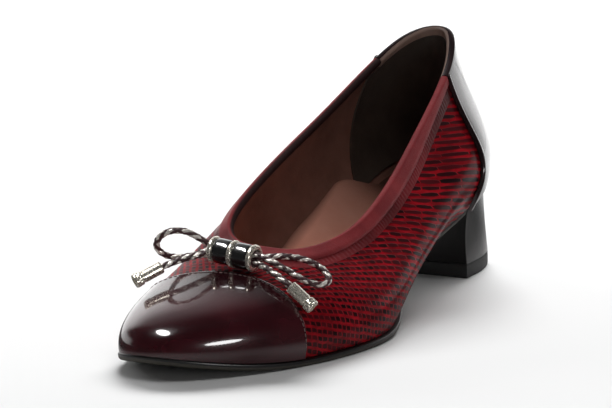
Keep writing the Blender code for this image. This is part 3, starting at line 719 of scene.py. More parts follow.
# %% Make the heel lining
GRIP_FORWARD, GRIP_SPREAD, GRIP_ROUND = 50.0, 9.0, 110.0    # front edge, its sweep, and way round the heel
GRIP_LOW, GRIP_HIGH = 0.10, 0.97            # shares of the wall between which it lies
GRIP_THICK, GRIP_EDGE, GRIP_FACE, GRIP_BACK = 0.6, 0.8, 0.03, 0.02

grip_t = np.linspace(GRIP_LOW, GRIP_HIGH, 40)
grip_first, grip_last = heel_edges(GRIP_FORWARD + GRIP_SPREAD * (1 - grip_t) ** 2, grip_t)
grip_share = crowded(70, close=0.006)[:, None]
grip_v = grip_first + (grip_last - grip_first) * grip_share
grip_thick = rounded(np.minimum(grip_share, 1 - grip_share) * GRIP_ROUND, GRIP_THICK, GRIP_EDGE)
heel_grip = add_loft("heel_grip",
                     sheet(grip_v, grip_t, -WALL - (GRIP_FACE + grip_thick), -WALL - GRIP_BACK),
                     "brown_lining", sharp=60)

# %% [markdown]
# ## The collar's binding
#
# A strip of plain soft leather is folded over the rim from one end of the counter to the other. It is
# pulled tight, so the embossed leather just under it is gathered into small pleats. The binding is a
# strip up the outside and round the rim, narrower towards the heel, with painted shade where it turns
# inside: the fold and the inside face are painted dark, sooner on the inner side, for the shade that falls
# there. The pleats are a narrow strip of their own whose lift is a row of round waves that fade out
# downwards.

# %% Make the binding
BINDING_WIDE, BINDING_NARROW, BINDING_TAPER, BINDING_LEAD = 4.2, 2.0, 60.0, 0.6
BINDING_ROUND, BINDING_EDGE = 420, 1.6
BINDING_FOLD, FOLD_STEPS = (10, 176), 16    # degrees round the rim
BINDING_DEPTH = (0.4, 0.8, 1.0)             # how far down it goes inside, mm
PAINTED_SHADE_FROM, PAINTED_SHADE_SOFT = 105, 25              # where the painted shade on the fold begins on the outer side, and how softly, degrees
PAINTED_SHADE_EARLIER = 65                           # how much earlier the painted shade begins on the inner side
INNER_FROM, INNER_LONG = 0.46, 0.1          # where round the shoe the inner side begins


def collar_places(count):
    """Even places round the collar between the counter's two top corners."""
    start = side_place(COUNTER_TOP_FORWARD + BINDING_LEAD, 1.0, 1)
    end = 1 + side_place(COUNTER_TOP_FORWARD + BINDING_LEAD, 1.0, -1)
    v = np.linspace(start, end, 800)
    length = path_length(surface(v, 1.0)[0])
    return np.interp(np.linspace(0, length[-1], count), length, v), length[-1]


def binding_width(count):
    """Width of the binding at even places round the collar: a smooth step up from both of its ends."""
    from_end = np.minimum(np.arange(count), np.arange(count)[::-1]) / (count - 1) * collar_long
    wider = BINDING_WIDE - BINDING_NARROW
    return (BINDING_NARROW + wider * smooth_step(from_end, 0.0, BINDING_TAPER))[:, None]


binding_v, collar_long = collar_places(BINDING_ROUND)
binding_share = crowded(10, crowd_end=False, close=0.12)[None, :]
binding_down = binding_width(BINDING_ROUND) * (1 - binding_share)
binding_t = 1 - binding_down / wall_length(binding_v)[:, None]
binding_lift = LAID_GAP + rounded(binding_width(BINDING_ROUND) - binding_down, edge=BINDING_EDGE)
binding_rim = binding_v[:, None]
binding_faces = [np.concatenate([surface(binding_rim, binding_t, lift)[0],
                                 rim_fold(binding_rim, BINDING_FOLD, rim_lift, down_lift[0], FOLD_STEPS),
                                 down_inside(binding_rim, BINDING_DEPTH, down_lift)], 1)
                 for lift, rim_lift, down_lift in (
                     (binding_lift, LAID_GAP + LAID_THICK, (0.45, 0.3, 0.1)),
                     (LAID_GAP, LAID_GAP, (0.04, 0.04, 0.03)))]
# painted shade: a number per point that darkens the binding's fold and inside face, where shade falls
inner_share = np.clip((binding_rim - INNER_FROM) / INNER_LONG, 0, 1)
fold_angle = np.linspace(*BINDING_FOLD, FOLD_STEPS)[None, :]
fold_painted_shade = np.clip((fold_angle - PAINTED_SHADE_FROM + PAINTED_SHADE_EARLIER * inner_share) / PAINTED_SHADE_SOFT, 0, 1)
inside_painted_shade = np.ones((BINDING_ROUND, len(BINDING_DEPTH)))
binding_painted_shade = np.concatenate([0 * binding_t, fold_painted_shade, inside_painted_shade], 1)
collar_binding = add_loft("collar_binding", skin(*binding_faces), "red_binding",
                          replaces=["topline_binding"],
                          values={"painted_shade": skin(binding_painted_shade, binding_painted_shade)}, sharp=60)
print(f"collar {collar_long:.0f} mm round")

# %% Make the pleats under the binding
PLEAT_PITCH, PLEAT_HIGH, PLEAT_WIDTH, PLEAT_TUCK = 2.1, 0.15, 3.4, 0.4
PLEAT_LOW, PLEAT_BASE, PLEAT_BACK = 0.06, 0.12, 0.02        # lifts: lower edge, under the waves, back
PLEAT_ROUND, PLEAT_STEPS = 1500, 9

pleat_v, _ = collar_places(PLEAT_ROUND)
pleat_share = np.linspace(0, 1, PLEAT_STEPS)[None, :]
pleat_down = binding_width(PLEAT_ROUND) - PLEAT_TUCK + PLEAT_WIDTH * pleat_share
pleat_t = 1 - pleat_down / wall_length(pleat_v)[:, None]
pleat_at = np.linspace(0, collar_long, PLEAT_ROUND)[:, None]
# waves of unlike lengths shift and flatten the pleats, so that no two are alike
wander = 0.6 * np.sin(pleat_at / 7.3) + 0.4 * np.sin(pleat_at / 3.1 + 1.0) + 0.5 * pleat_share
uneven = 0.65 + 0.35 * np.sin(pleat_at / 4.7) * np.sin(pleat_at / 1.9 + 2.0)
pleat_wave = (0.5 + 0.5 * np.cos(2 * np.pi * (pleat_at + wander) / PLEAT_PITCH)) ** 0.7
fading = np.cos(np.pi / 2 * pleat_share) ** 0.8
pleat_lift = PLEAT_LOW + (PLEAT_BASE + PLEAT_HIGH * pleat_wave * uneven) * fading
collar_pleats = add_loft("collar_pleats", sheet(pleat_v[:, None], pleat_t, pleat_lift, PLEAT_BACK),
                         "red_leather", sharp=70)

# %% [markdown]
# ## The sole, the insole and the heel
#
# Under the upper lies a thin leather sole with a rounded edge, tucked in at the waist. All three pieces
# are stacks of outlines: the foot outline moved in or out by a margin, once for every layer. Each layer
# is read as a left and a right edge over the forward distance, so that the rungs of all layers match.

# %% Helpers for stacked outlines
outline_v = np.linspace(0, 1, 1200, endpoint=False)


def edges_of(loop):
    """Both edges of a closed outline as a function of the forward distance, with its back and its tip."""
    loop = np.roll(loop, -loop[:, 1].argmin(), axis=0)
    tip = loop[:, 1].argmax()
    outer, inner = loop[:tip + 1], np.vstack([loop[:1], loop[:tip - 1:-1]])

    def edges(forward):
        """Out of the outer and of the inner edge at forward distances."""
        return [np.interp(forward, line[:, 1], line[:, 0]) for line in (outer, inner)]

    return edges, loop[0, 1], loop[tip, 1]


def outline(margin):
    """The foot outline moved out along its own normals by a margin that depends on the forward distance."""
    foot, normal = foot_line(outline_v)
    return edges_of(foot + np.broadcast_to(margin(foot[:, 1]), len(foot))[:, None] * normal)


def layer_ring(edges, forward, up):
    """One layer as a ring: forward along the outer edge and back along the inner one."""
    ahead, back = (np.stack([edge, forward, up], 1) for edge in edges)
    return np.concatenate([ahead, back[::-1]])


# %% Make the outsole
SOLE_THICK, SOLE_EDGE, WAIST_TUCK, WAIST_FORWARD, BALL_FORWARD = 2.7, 1.7, 0.8, 85.0, 150.0
BREAST_TOP, BREAST_BOTTOM, TIP_CUT = 46.5, 43.5, 0.15
SOLE_EDGE_PROFILE = ((0.45, 0.0), (0.12, 0.05), (0.0, 0.16), (0.0, 0.42), (0.10, 0.50), (0.10, 0.56),
                     (0.12, 0.62), (0.3, 0.8), (0.65, 0.94), (1.1, 1.0))     # inset mm, share of thickness


def outsole_margin(forward):
    """How far the sole's edge stands out: an S from the tucked waist to the ball."""
    return -WAIST_TUCK + (SOLE_EDGE + WAIST_TUCK) * smooth_step(forward, WAIST_FORWARD, BALL_FORWARD)


def sole_layer(inset, depth):
    """One layer of the sole, moved in by an inset, at a share of the thickness below the upper."""
    edges, _, tip = outline(lambda forward: outsole_margin(forward) - inset)
    start, end = BREAST_TOP + GAP, tip - TIP_CUT
    forward = start + (end - start) * np.sin(np.linspace(0, np.pi / 2, 200))
    return layer_ring(edges(forward), forward, sole_line(forward) - GAP - depth * SOLE_THICK)


sole_rings = np.stack([sole_layer(*row) for row in SOLE_EDGE_PROFILE])
sole_depth = np.broadcast_to(np.array(SOLE_EDGE_PROFILE)[:, 1:], sole_rings.shape[:2])
outsole_leather = add_loft("outsole_leather", sole_rings, "sole_board", replaces=["outsole"],
                           values={"depth": sole_depth}, sharp=55)

# %% Make the insole
INSOLE_MARGIN, INSOLE_THICK, INSOLE_DISH, INSOLE_CURL, INSOLE_CLEAR = 2.2, 2.2, 0.7, 1.0, 0.3
HEEL_SHADE_FROM, HEEL_SHADE_LONG = 40.0, 65.0         # painted shade: the sock is painted dark at the heel, where the heel's shade falls, and clears over this length, mm


def wall_edges(height, clear):
    """Both edges of the room inside the wall, at a height above the foot."""
    here = section(outline_v)
    t = height / (3 * here["rise"] * np.cos(np.radians(here["flare"])))
    return edges_of(surface(outline_v, t, -WALL - clear)[0][:, :2])


def insole_face(room, rise):
    """A sheet between the edges of a room: out is a mix of them, and up is the sole line plus a rise."""
    edges, back, tip = room
    forward = back + TIP_CUT + (tip - back - 2 * TIP_CUT) * eased(161)
    outer, inner = (edge[:, None] for edge in edges(forward))
    out = (outer + inner) / 2 + (outer - inner) / 2 * across
    up = sole_line(forward)[:, None] + rise
    return np.stack([out, np.broadcast_to(forward[:, None], out.shape), np.broadcast_to(up, out.shape)], -1)


def heel_painted_shade(forward):
    """How much painted shade the sock has: 1 at the heel, falling evenly to 0 further forward."""
    return 1 - np.clip((forward - HEEL_SHADE_FROM) / HEEL_SHADE_LONG, 0, 1)


across = np.sin(np.linspace(-np.pi / 2, np.pi / 2, 33))[None, :]
dish = INSOLE_THICK + INSOLE_CURL * across**4 - INSOLE_DISH * (1 - across**2)
sock_top = insole_face(wall_edges(INSOLE_THICK + INSOLE_CURL, INSOLE_CLEAR), dish)
sock_under = insole_face(outline(lambda forward: -INSOLE_MARGIN), 0.0)
# painted shade on the sock at the heel, standing in for the shade of the heel's walls
sock_painted_shade = heel_painted_shade(sock_top[..., 1])
insole_sock = add_loft("insole_sock", skin(sock_top, sock_under), "brown_lining", replaces=["insole"],
                       values={"painted_shade": skin(sock_painted_shade, sock_painted_shade)}, sharp=60)

# %% [markdown]
# ## The arch pad
#
# On the inner side the sock leather swells up the wall over a soft pad, which carries the arch of the
# foot. It is a sheet of curves from the sock to the wall. Each is a parabola with one handle, which is
# pulled from the corner towards the straight line, so that the pad is full and not hollow.

# %% Make the arch pad
PAD_RISE, PAD_FALL = (36.0, 70.0), (100.0, 165.0)       # forward distances of its two slopes, mm
PAD_ROUND, PAD_FOOT, PAD_HIGH = (-0.36, -0.06), 0.03, 0.29      # places, and shares of the wall
PAD_LEAST, PAD_REACH = 2.0, 17.0            # how far it comes in over the sock, mm
PAD_CLEAR, PAD_SUNK = 0.4, 0.9              # gap to the wall at its foot, and depth of its edge in the sock
PAD_SHADE, PAD_SHADE_FROM = 0.75, 0.82      # how much painted shade darkens its upper edge against the shaded wall, and where that begins


def arch_swell(forward):
    """How far the pad is swollen: a smooth step up from the heel and a smooth step down to the ball."""
    return smooth_step(forward, *PAD_RISE) * (1 - smooth_step(forward, *PAD_FALL))


def pad_face(lift, fullness, drop):
    """Parabolas from a line on the sock to a line on the inner wall, full or hollow."""
    v = np.linspace(*PAD_ROUND, 120)
    foot = surface(v, 0.0, -WALL - PAD_CLEAR)[0]
    swell = arch_swell(foot[:, 1])
    on_wall = surface(v, PAD_FOOT + PAD_HIGH * swell, -WALL - lift)[0]
    sock_up = np.full(len(v), INSOLE_THICK - PAD_SUNK - drop)
    on_sock = foot + np.stack([PAD_LEAST + PAD_REACH * swell, 0 * swell, sock_up], 1)
    corner = foot + (0.0, 0.0, INSOLE_THICK)
    handle = corner + fullness * ((on_wall + on_sock) / 2 - corner)
    s = np.linspace(0, 1, 25)[None, :, None]
    return (1 - s) ** 2 * on_sock[:, None] + 2 * s * (1 - s) * handle[:, None] + s**2 * on_wall[:, None]


pad_top = pad_face(lift=0.5, fullness=0.45, drop=0.0)
pad_under = pad_face(lift=0.05, fullness=0.0, drop=0.4)
# painted shade: the pad's upper edge is painted dark where it meets the shaded wall, and its rear takes the
# sock's painted shade
pad_edge_shade = np.clip((np.linspace(0, 1, pad_top.shape[1]) - PAD_SHADE_FROM) / (1 - PAD_SHADE_FROM), 0, 1)
pad_painted_shade = np.maximum(heel_painted_shade(pad_top[..., 1]), PAD_SHADE * pad_edge_shade)
arch_pad = add_loft("arch_pad", skin(pad_top, pad_under), "brown_lining",
                    values={"painted_shade": skin(pad_painted_shade, pad_painted_shade)}, sharp=60)

# %% [markdown]
# ## The heel
#
# The heel is a block covered in black patent, cut flat at the front, with a rubber piece to walk on. Its
# top takes the foot outline and its bottom a rounded back, and between them the sides are a little
# hollow. A bevel modifier rounds the long edges of the flat front so that they catch light.

# %% Make the heel and its rubber piece
HEEL_BACK_BOTTOM, HEEL_HALF_WIDTH, HEEL_ROUND = 4.0, 20.0, 2.5
HEEL_INSET, HEEL_WAIST, HEEL_BEVEL, TOP_PIECE = 0.5, 0.9, 0.5, 6.0
LIFT_PROFILE = ((0.8, 0.0), (0.3, 0.15), (0.08, 0.5), (0.0, 1.0),
                (0.0, 5.2), (0.1, 5.5), (0.25, 5.7))        # inset and height of the rubber's layers, mm


def heel_ground(share, inset=0.0):
    """Edges of the heel's ground face at shares of its depth: a round back that runs straight forward."""
    half = (HEEL_HALF_WIDTH - inset) * (1 - (1 - share) ** HEEL_ROUND) ** (1 / HEEL_ROUND)
    back, breast = HEEL_BACK_BOTTOM + inset, BREAST_BOTTOM - inset
    return (ORIGIN_OUT + half, ORIGIN_OUT - half), back + (breast - back) * share


def rounded_edges(obj, width):
    """A bevel on every edge sharper than 50 degrees."""
    bevel = obj.modifiers.new("rounded edges", "BEVEL")
    bevel.width, bevel.segments, bevel.limit_method = width * MM, 3, "ANGLE"
    bevel.angle_limit = math.radians(50)
    bevel.harden_normals = False


heel_share = 1 - np.cos(np.linspace(0.06, np.pi / 2, 48))
seat_edges, seat_back, _ = outline(lambda forward: -HEEL_INSET)
seat_forward = seat_back + (BREAST_TOP - seat_back) * heel_share
seat = layer_ring(seat_edges(seat_forward), seat_forward, sole_line(seat_forward) - GAP)
ground = layer_ring(*heel_ground(heel_share), np.full(len(heel_share), TOP_PIECE))
height = np.linspace(0, 1, 25)[:, None, None]
inwards = np.concatenate([-heel_share, heel_share[::-1]])[None, :, None] * np.array([HEEL_WAIST, 0.0, 0.0])
heel_rings = ground + (seat - ground) * height + np.sin(np.pi * height) * inwards
heel_block = add_loft("heel_block", heel_rings, "black_patent", replaces=["heel"], sharp=50)
rounded_edges(heel_block, HEEL_BEVEL)
lift_rings = np.stack([layer_ring(*heel_ground(heel_share, inset), np.full(len(heel_share), up))
                       for inset, up in LIFT_PROFILE])
heel_lift = add_loft("heel_lift", lift_rings, "heel_rubber", replaces=["heel_top_piece"], sharp=50)

# %% [markdown]
# ## Stitches
#
# A row of small stitches holds the cap's rear edge. Each is a short lozenge with a round back. All of
# them go into one mesh: the lozenge is made once, and every copy is placed by its own along, across and
# up directions in one array product.

# %% Sew the cap's edge
STITCH_PITCH, STITCH_LONG, STITCH_WIDE, STITCH_HIGH, STITCH_INSET = 2.1, 1.5, 0.45, 0.22, 1.5
LOZENGE_AT = (-0.5, -0.38, 0.0, 0.38, 0.5)  # shares of its length
LOZENGE_SIZE = (0.35, 0.85, 1.0, 0.85, 0.35)
LOZENGE_SIDES, LOOK_AHEAD = 6, 0.2


def sew(name, line, out, slot):
    """Stitches along a line of points: each is middle + x * along + y * across + z * out."""
    length = path_length(line)
    count = int(length[-1] / STITCH_PITCH)
    at = (np.arange(count) + 0.5) * length[-1] / count

    def read(places, points):
        """Points or directions at places along the line."""
        return np.stack([np.interp(places, length, column) for column in points.T], 1)

    middle, normal = read(at, line), unit(read(at, out))
    along = unit(read(at + LOOK_AHEAD, line) - middle + 1e-9)
    sides = np.cross(normal, along)
    size = np.array(LOZENGE_SIZE)[:, None]
    ring = np.linspace(0, 2 * np.pi, LOZENGE_SIDES, endpoint=False)[None, :]
    y, z = size * np.cos(ring) * STITCH_WIDE / 2, size * np.sin(ring) * STITCH_HIGH
    x = np.broadcast_to(np.array(LOZENGE_AT)[:, None] * STITCH_LONG, y.shape)
    points = middle[:, None, None] + sum(step[None, ..., None] * way[:, None, None]
                                         for step, way in ((x, along), (y, sides), (z, normal)))
    quads = loft(*y.shape, False)[None] + y.size * np.arange(count)[:, None, None]
    return add_mesh(name, points.reshape(-1, 3), quads.reshape(-1, 4), slot, sharp=80)


seam_v = np.linspace(cap_v[4], cap_v[-5], 600)
seam_t = cap_edge(seam_v) - STITCH_INSET / wall_length(seam_v)
seam_line, seam_out, _ = surface(seam_v, seam_t, LAID_GAP + LAID_THICK)
cap_stitches = sew("cap_stitches", seam_line, seam_out, "dark_patent")

# %% [markdown]
# ## Shader helpers
#
# A finish is a small graph of nodes. A few helpers keep each graph short: one adds a node and fills its
# inputs, with a number where the value is fixed and a link where it comes from another node, and others
# start a material with the shader's own fixed values and link the values that change over the surface.

# %% Helpers for nodes
def add_node(tree, kind, inputs=None, **settings):
    """A node with its settings and inputs; an input that is a socket is linked, the rest are set."""
    made = tree.nodes.new(kind)
    for key, value in settings.items():
        setattr(made, key, value)
    for key, value in (inputs or {}).items():
        if isinstance(value, bpy.types.NodeSocket):
            tree.links.new(value, made.inputs[key])
        else:
            made.inputs[key].default_value = value
    return made


def maths(tree, operation, first, second=0.0):
    """One operation on two numbers."""
    return add_node(tree, "ShaderNodeMath", {0: first, 1: second}, operation=operation).outputs[0]


def vector_maths(tree, operation, *inputs):
    """The outputs of one operation on vectors: a vector first, and a number named Value."""
    return add_node(tree, "ShaderNodeVectorMath", dict(enumerate(inputs)), operation=operation).outputs


def between(tree, value, low, high, to_low=0.0, to_high=1.0):
    """A smooth step: value from low to high becomes to_low to to_high."""
    return add_node(tree, "ShaderNodeMapRange", {0: value, 1: low, 2: high, 3: to_low, 4: to_high},
                    interpolation_type="SMOOTHSTEP").outputs[0]


def mixed(tree, share, *shades):
    """A colour between two others, each a link or three numbers."""
    link = bpy.types.NodeSocket
    first, second = (shade if isinstance(shade, link) else (*shade, 1.0) for shade in shades)
    return add_node(tree, "ShaderNodeMix", {0: share, 6: first, 7: second}, data_type="RGBA").outputs[2]


def bumped(tree, height, strength, distance):
    """A normal bent by a height; the distance is in mm."""
    inputs = {"Height": height, "Strength": strength, "Distance": distance * MM}
    return add_node(tree, "ShaderNodeBump", inputs).outputs[0]


def attribute(tree, name):
    """The number that a piece holds at each point under this name."""
    return add_node(tree, "ShaderNodeAttribute", attribute_name=name).outputs["Fac"]


def noise(tree, where, scale, detail=3.0, rough=0.5, output="Fac"):
    """Soft noise: a number from about 0 to 1, or three of them as a colour."""
    inputs = {"Vector": where, "Scale": scale, "Detail": detail, "Roughness": rough}
    return add_node(tree, "ShaderNodeTexNoise", inputs).outputs[output]


def object_place(tree):
    """Where a point lies on its object, in metres."""
    return add_node(tree, "ShaderNodeTexCoord").outputs["Object"]


# %% Helpers for materials
def new_finish(name, **fixed):
    """A material with the shader's fixed values; returns it with its tree and shader."""
    material = bpy.data.materials.new(name)
    material.use_nodes = True
    shader = material.node_tree.nodes["Principled BSDF"]
    for key, value in fixed.items():
        shader.inputs[key.replace("_", " ")].default_value = value
    return material, material.node_tree, shader


def feed(tree, shader, **sockets):
    """Links values that change over the surface to the shader's sockets of these names."""
    for key, value in sockets.items():
        tree.links.new(value, shader.inputs[key.replace("_", " ")])


def wear(material, *pieces):
    """Gives a finish to some pieces."""
    for piece in pieces:
        piece.data.materials.clear()
        piece.data.materials.append(material)
    print(material.name, "on", [piece.name for piece in pieces])


# %% [markdown]
# ## Shared surface effects
#
# Leather has a fine grain of pores and wrinkles, and patent leather has a slow ripple under its
# lacquer. Several pieces need each, so both are node groups. Each takes one number, how many there are
# to a metre, and puts out a height for the bump and a slower pattern for colour and roughness.

# %% Build the node groups
def new_group(name, size, default, outputs):
    """An empty group with one input and some outputs, all numbers."""
    group = bpy.data.node_groups.new(name, "ShaderNodeTree")
    group.interface.new_socket(size, in_out="INPUT", socket_type="NodeSocketFloat").default_value = default
    for title in outputs:
        group.interface.new_socket(title, in_out="OUTPUT", socket_type="NodeSocketFloat")
    return group, group.nodes.new("NodeGroupInput").outputs[0], group.nodes.new("NodeGroupOutput").inputs


def make_grain():
    """Pores from a fine texture of cells, wrinkles from finer noise, and a slow mottle."""
    group, size, result = new_group("leather_grain", "Pores per m", 1600.0, ["Height", "Mottle"])
    where = object_place(group)
    pores = add_node(group, "ShaderNodeTexVoronoi", {"Vector": where, "Scale": size},
                     feature="DISTANCE_TO_EDGE").outputs["Distance"]
    wrinkle = noise(group, where, maths(group, "MULTIPLY", size, 0.5), 4.0, 0.6)
    pebble = maths(group, "MULTIPLY", between(group, pores, 0.0, 0.25), 0.6)
    group.links.new(maths(group, "ADD", pebble, wrinkle), result[0])
    group.links.new(noise(group, where, maths(group, "MULTIPLY", size, 0.05), 3.0, 0.6), result[1])
    return group


def make_ripple():
    """The slow unevenness of a lacquered surface, and a scatter of small dull specks."""
    group, size, result = new_group("lacquer_ripple", "Ripples per m", 90.0, ["Height", "Specks"])
    where = object_place(group)
    slow = noise(group, where, size, 2.0, 0.45)
    fine = noise(group, where, maths(group, "MULTIPLY", size, 6.0), 2.0, 0.5)
    group.links.new(maths(group, "ADD", slow, maths(group, "MULTIPLY", fine, 0.03)), result[0])
    group.links.new(noise(group, where, maths(group, "MULTIPLY", size, 12.0), 3.0, 0.6), result[1])
    return group


def use_group(tree, group, size):
    """A group's height and its slower pattern, at this size."""
    made = add_node(tree, "ShaderNodeGroup", node_tree=group)
    made.inputs[0].default_value = size
    return made.outputs[0], made.outputs[1]


grain_group, ripple_group = make_grain(), make_ripple()
print("groups:", grain_group.name, ripple_group.name)

# %% [markdown]
# ## Scale-embossed leather
#
# The upper is pressed with rows of small scales. Their tops are almost black and the furrows between
# them are bright red. The leather's own map counts rows and columns, and noise bends it so that no two
# scales are alike. Each scale gets lower towards its ends, and some long neighbours run together. The
# distance to the nearest edge of a cell gives one mask, which colours the furrows, presses them in and
# dulls them.

# %% The upper's embossed red leather
FURROW, FURROW_AT = (0.26, 0.50), (3.0, 9.0)    # half width of a level furrow, by width of scale, mm
FURROW_SIDE = 0.08                          # how much narrower the others are, mm
FURROW_EDGE = (-0.30, 0.10)                 # where a furrow's colour begins and ends, mm from its border
TAPER, TAPER_LONG = 0.30, 4.0               # a scale gets this much lower over this length at its ends, mm
JOINED, JOINED_AT = 0.5, (4.0, 8.0)         # how far some furrows close, and the widths between which, mm
SLIDE, SLIDE_AT = (0.2, 0.9), (2.5, 9.0)    # how far a row may slide, in scales, by width of scale
BEND, BEND_SIZE = 0.55, 0.4                 # how far noise bends the map, in cells, and the noise's scale
ROUGH_EDGE = 0.3                            # how uneven the edge of a scale is, mm


def by_chance(tree, dimensions, **where):
    """A number from 0 to 1 that is another one at each whole place."""
    return add_node(tree, "ShaderNodeTexWhiteNoise", where, noise_dimensions=dimensions).outputs["Value"]


def scale_cells(tree, width):
    """The flat map, bent places across and up in it, and a chance for each cell; rows slide by chance."""
    flat = add_node(tree, "ShaderNodeUVMap", uv_map="UVMap").outputs[0]
    bend = noise(tree, flat, BEND_SIZE, 2.0, 0.6, "Color")
    shift = vector_maths(tree, "SUBTRACT", bend, (0.5, 0.5, 0.5))[0]
    moved = vector_maths(tree, "MULTIPLY_ADD", shift, (BEND, BEND, 0.0), flat)[0]
    across, up, _ = add_node(tree, "ShaderNodeSeparateXYZ", {0: moved}).outputs
    row = maths(tree, "FLOOR", up)
    slide = maths(tree, "MULTIPLY", by_chance(tree, "1D", W=row), between(tree, width, *SLIDE_AT, *SLIDE))
    across = maths(tree, "ADD", across, slide)
    cell = add_node(tree, "ShaderNodeCombineXYZ", {0: maths(tree, "FLOOR", across), 1: row}).outputs[0]
    return flat, across, up, by_chance(tree, "2D", Vector=cell)


def make_scale_leather():
    """A furrow is where the way to a cell's side or top, in mm, is less than the furrow's half width."""
    material, tree, shader = new_finish("scale_leather", Coat_Weight=0.19, Coat_Roughness=0.13,
                                        Specular_IOR_Level=0.04)
    width = attribute(tree, "scale_width")
    flat, across, up, chance = scale_cells(tree, width)
    side = maths(tree, "MULTIPLY", maths(tree, "PINGPONG", across, 0.5), width)
    top = maths(tree, "MULTIPLY", maths(tree, "PINGPONG", up, 0.5), ROW_PITCH)
    top = maths(tree, "SUBTRACT", top, between(tree, side, 0.0, TAPER_LONG, TAPER, 0.0))
    joined = maths(tree, "MULTIPLY", between(tree, chance, 0.45, 0.65, 0.0, JOINED),
                   between(tree, width, *JOINED_AT))
    side = maths(tree, "ADD", maths(tree, "ADD", side, FURROW_SIDE), joined)
    rough_edge = maths(tree, "MULTIPLY", noise(tree, flat, 3.0), ROUGH_EDGE)
    edge = maths(tree, "SUBTRACT", maths(tree, "MINIMUM", side, top), rough_edge)
    half_width = between(tree, width, *FURROW_AT, *FURROW)
    furrow = between(tree, maths(tree, "SUBTRACT", edge, half_width), *FURROW_EDGE, 1.0, 0.0)
    _, mottle = use_group(tree, grain_group, 1500.0)
    black = mixed(tree, chance, (0.010, 0.001, 0.002), (0.075, 0.003, 0.006))
    red = mixed(tree, between(tree, mottle, 0.3, 0.7), (0.18, 0.0015, 0.005), (0.35, 0.003, 0.010))
    dark_patches = between(tree, noise(tree, flat, 1.1), 0.42, 0.62, 0.0, 0.5)
    red = mixed(tree, dark_patches, red, (0.07, 0.001, 0.003))
    feed(tree, shader, Base_Color=mixed(tree, furrow, black, red),
         Roughness=between(tree, furrow, 0.0, 1.0, 0.42, 0.55),
         Normal=bumped(tree, maths(tree, "SUBTRACT", 1.0, furrow), 0.45, 0.3))
    return material


wear(make_scale_leather(), upper_leather)

# %% [markdown]
# ## Plain leathers
#
# The binding is a dull soft red, the pleats under it are darker, the lining is a dark brown and the sock
# inside is a lighter tan, painted brighter than its leather to stand in for light that falls in through
# the opening. The binding, the sock and the pad also take painted shade where their pieces say so. All
# are grained, so they share the grain group at different sizes. The thread of the stitches gets the same
# finish with a very fine grain.

# %% Binding, pleats, lining, sock and thread
def make_plain_leather(name, dark, light, pores, roughness=0.5, strength=0.25, painted_shade=None):
    """Grained leather between two colours, rougher in its hollows, with painted shade where its piece says
    so.
    """
    material, tree, shader = new_finish(name, Specular_IOR_Level=0.2)
    height, mottle = use_group(tree, grain_group, pores)
    shade = mixed(tree, between(tree, mottle, 0.25, 0.75), dark, light)
    if painted_shade:
        # painted shade: the piece's number mixes in a dark colour where shade falls
        shade = mixed(tree, attribute(tree, "painted_shade"), shade, painted_shade)
    feed(tree, shader, Base_Color=shade,
         Roughness=between(tree, height, 0.2, 1.2, roughness + 0.1, roughness - 0.05),
         Normal=bumped(tree, height, strength, 0.12))
    return material


# the last colour of the binding is its painted shade, near-black red on the fold and the inside face
wear(make_plain_leather("binding_leather", (0.17, 0.015, 0.019), (0.245, 0.026, 0.030), pores=1500.0,
                        roughness=0.48, strength=0.35, painted_shade=(0.018, 0.005, 0.005)), collar_binding)
wear(make_plain_leather("pleat_leather", (0.03, 0.003, 0.004), (0.18, 0.012, 0.016), pores=380.0,
                        roughness=0.4, strength=0.4), collar_pleats)
wear(make_plain_leather("lining_leather", (0.15, 0.069, 0.050), (0.22, 0.105, 0.078), pores=1100.0,
                        roughness=0.6), upper_lining)
wear(make_plain_leather("grip_leather", (0.04, 0.028, 0.022), (0.066, 0.047, 0.037), pores=900.0,
                        roughness=0.65), heel_grip)
# painted highlight: the lip is the lining's leather, made paler for the light that falls on the rim's edge
wear(make_plain_leather("lip_leather", (0.20, 0.125, 0.10), (0.27, 0.18, 0.145), pores=1300.0), collar_lip)
# painted light: the sock's tan is made brighter than its leather for light through the opening; the dark
# brown given last is its painted shade
wear(make_plain_leather("sock_leather", (0.86, 0.37, 0.26), (0.94, 0.44, 0.32), pores=1100.0,
                        painted_shade=(0.05, 0.022, 0.016)), insole_sock, arch_pad)
wear(make_plain_leather("pale_thread", (0.13, 0.08, 0.075), (0.24, 0.16, 0.145), pores=3000.0,
                        strength=0.3), cap_stitches)

# %% [markdown]
# ## Patent leather
#
# Patent leather is dyed leather under a thick clear lacquer. So the shader's coat gives the mirror, over
# a softer base of the leather's own colour. The ripple group bends the reflections a little.

# %% Patent leathers of the cap, the counter and the heel
def make_patent(name, dark, light, ripples, strength=0.10, coat=1.0, haze=0.06):
    """A dark base under a clear coat, with the ripple in the normal and specks in the roughness."""
    material, tree, shader = new_finish(name, Coat_Weight=coat, Coat_Roughness=haze,
                                        Specular_IOR_Level=0.15 * coat)
    height, specks = use_group(tree, ripple_group, ripples)
    feed(tree, shader, Base_Color=mixed(tree, between(tree, height, 0.35, 0.75), dark, light),
         Roughness=between(tree, specks, 0.3, 0.7, 0.22, 0.27),
         Normal=bumped(tree, height, strength, 0.6))
    return material


wear(make_patent("burgundy_patent", (0.034, 0.003, 0.006), (0.052, 0.006, 0.010), ripples=60.0),
     toe_cap_patent)
wear(make_patent("counter_lacquer", (0.012, 0.004, 0.005), (0.020, 0.007, 0.008), ripples=70.0),
     counter_patent)
wear(make_patent("heel_lacquer", (0.005, 0.005, 0.005), (0.009, 0.008, 0.008), ripples=50.0,
                 strength=0.06, coat=0.5, haze=0.24), heel_block)

# %% [markdown]
# ## Sole and rubber
#
# The sole's edge is painted black at the top, a painted shadow under the upper's overhang, and a dull
# olive below, a painted reflection of the floor; so its colour follows the depth that each of its points
# holds. The rubber is matt with fine specks.

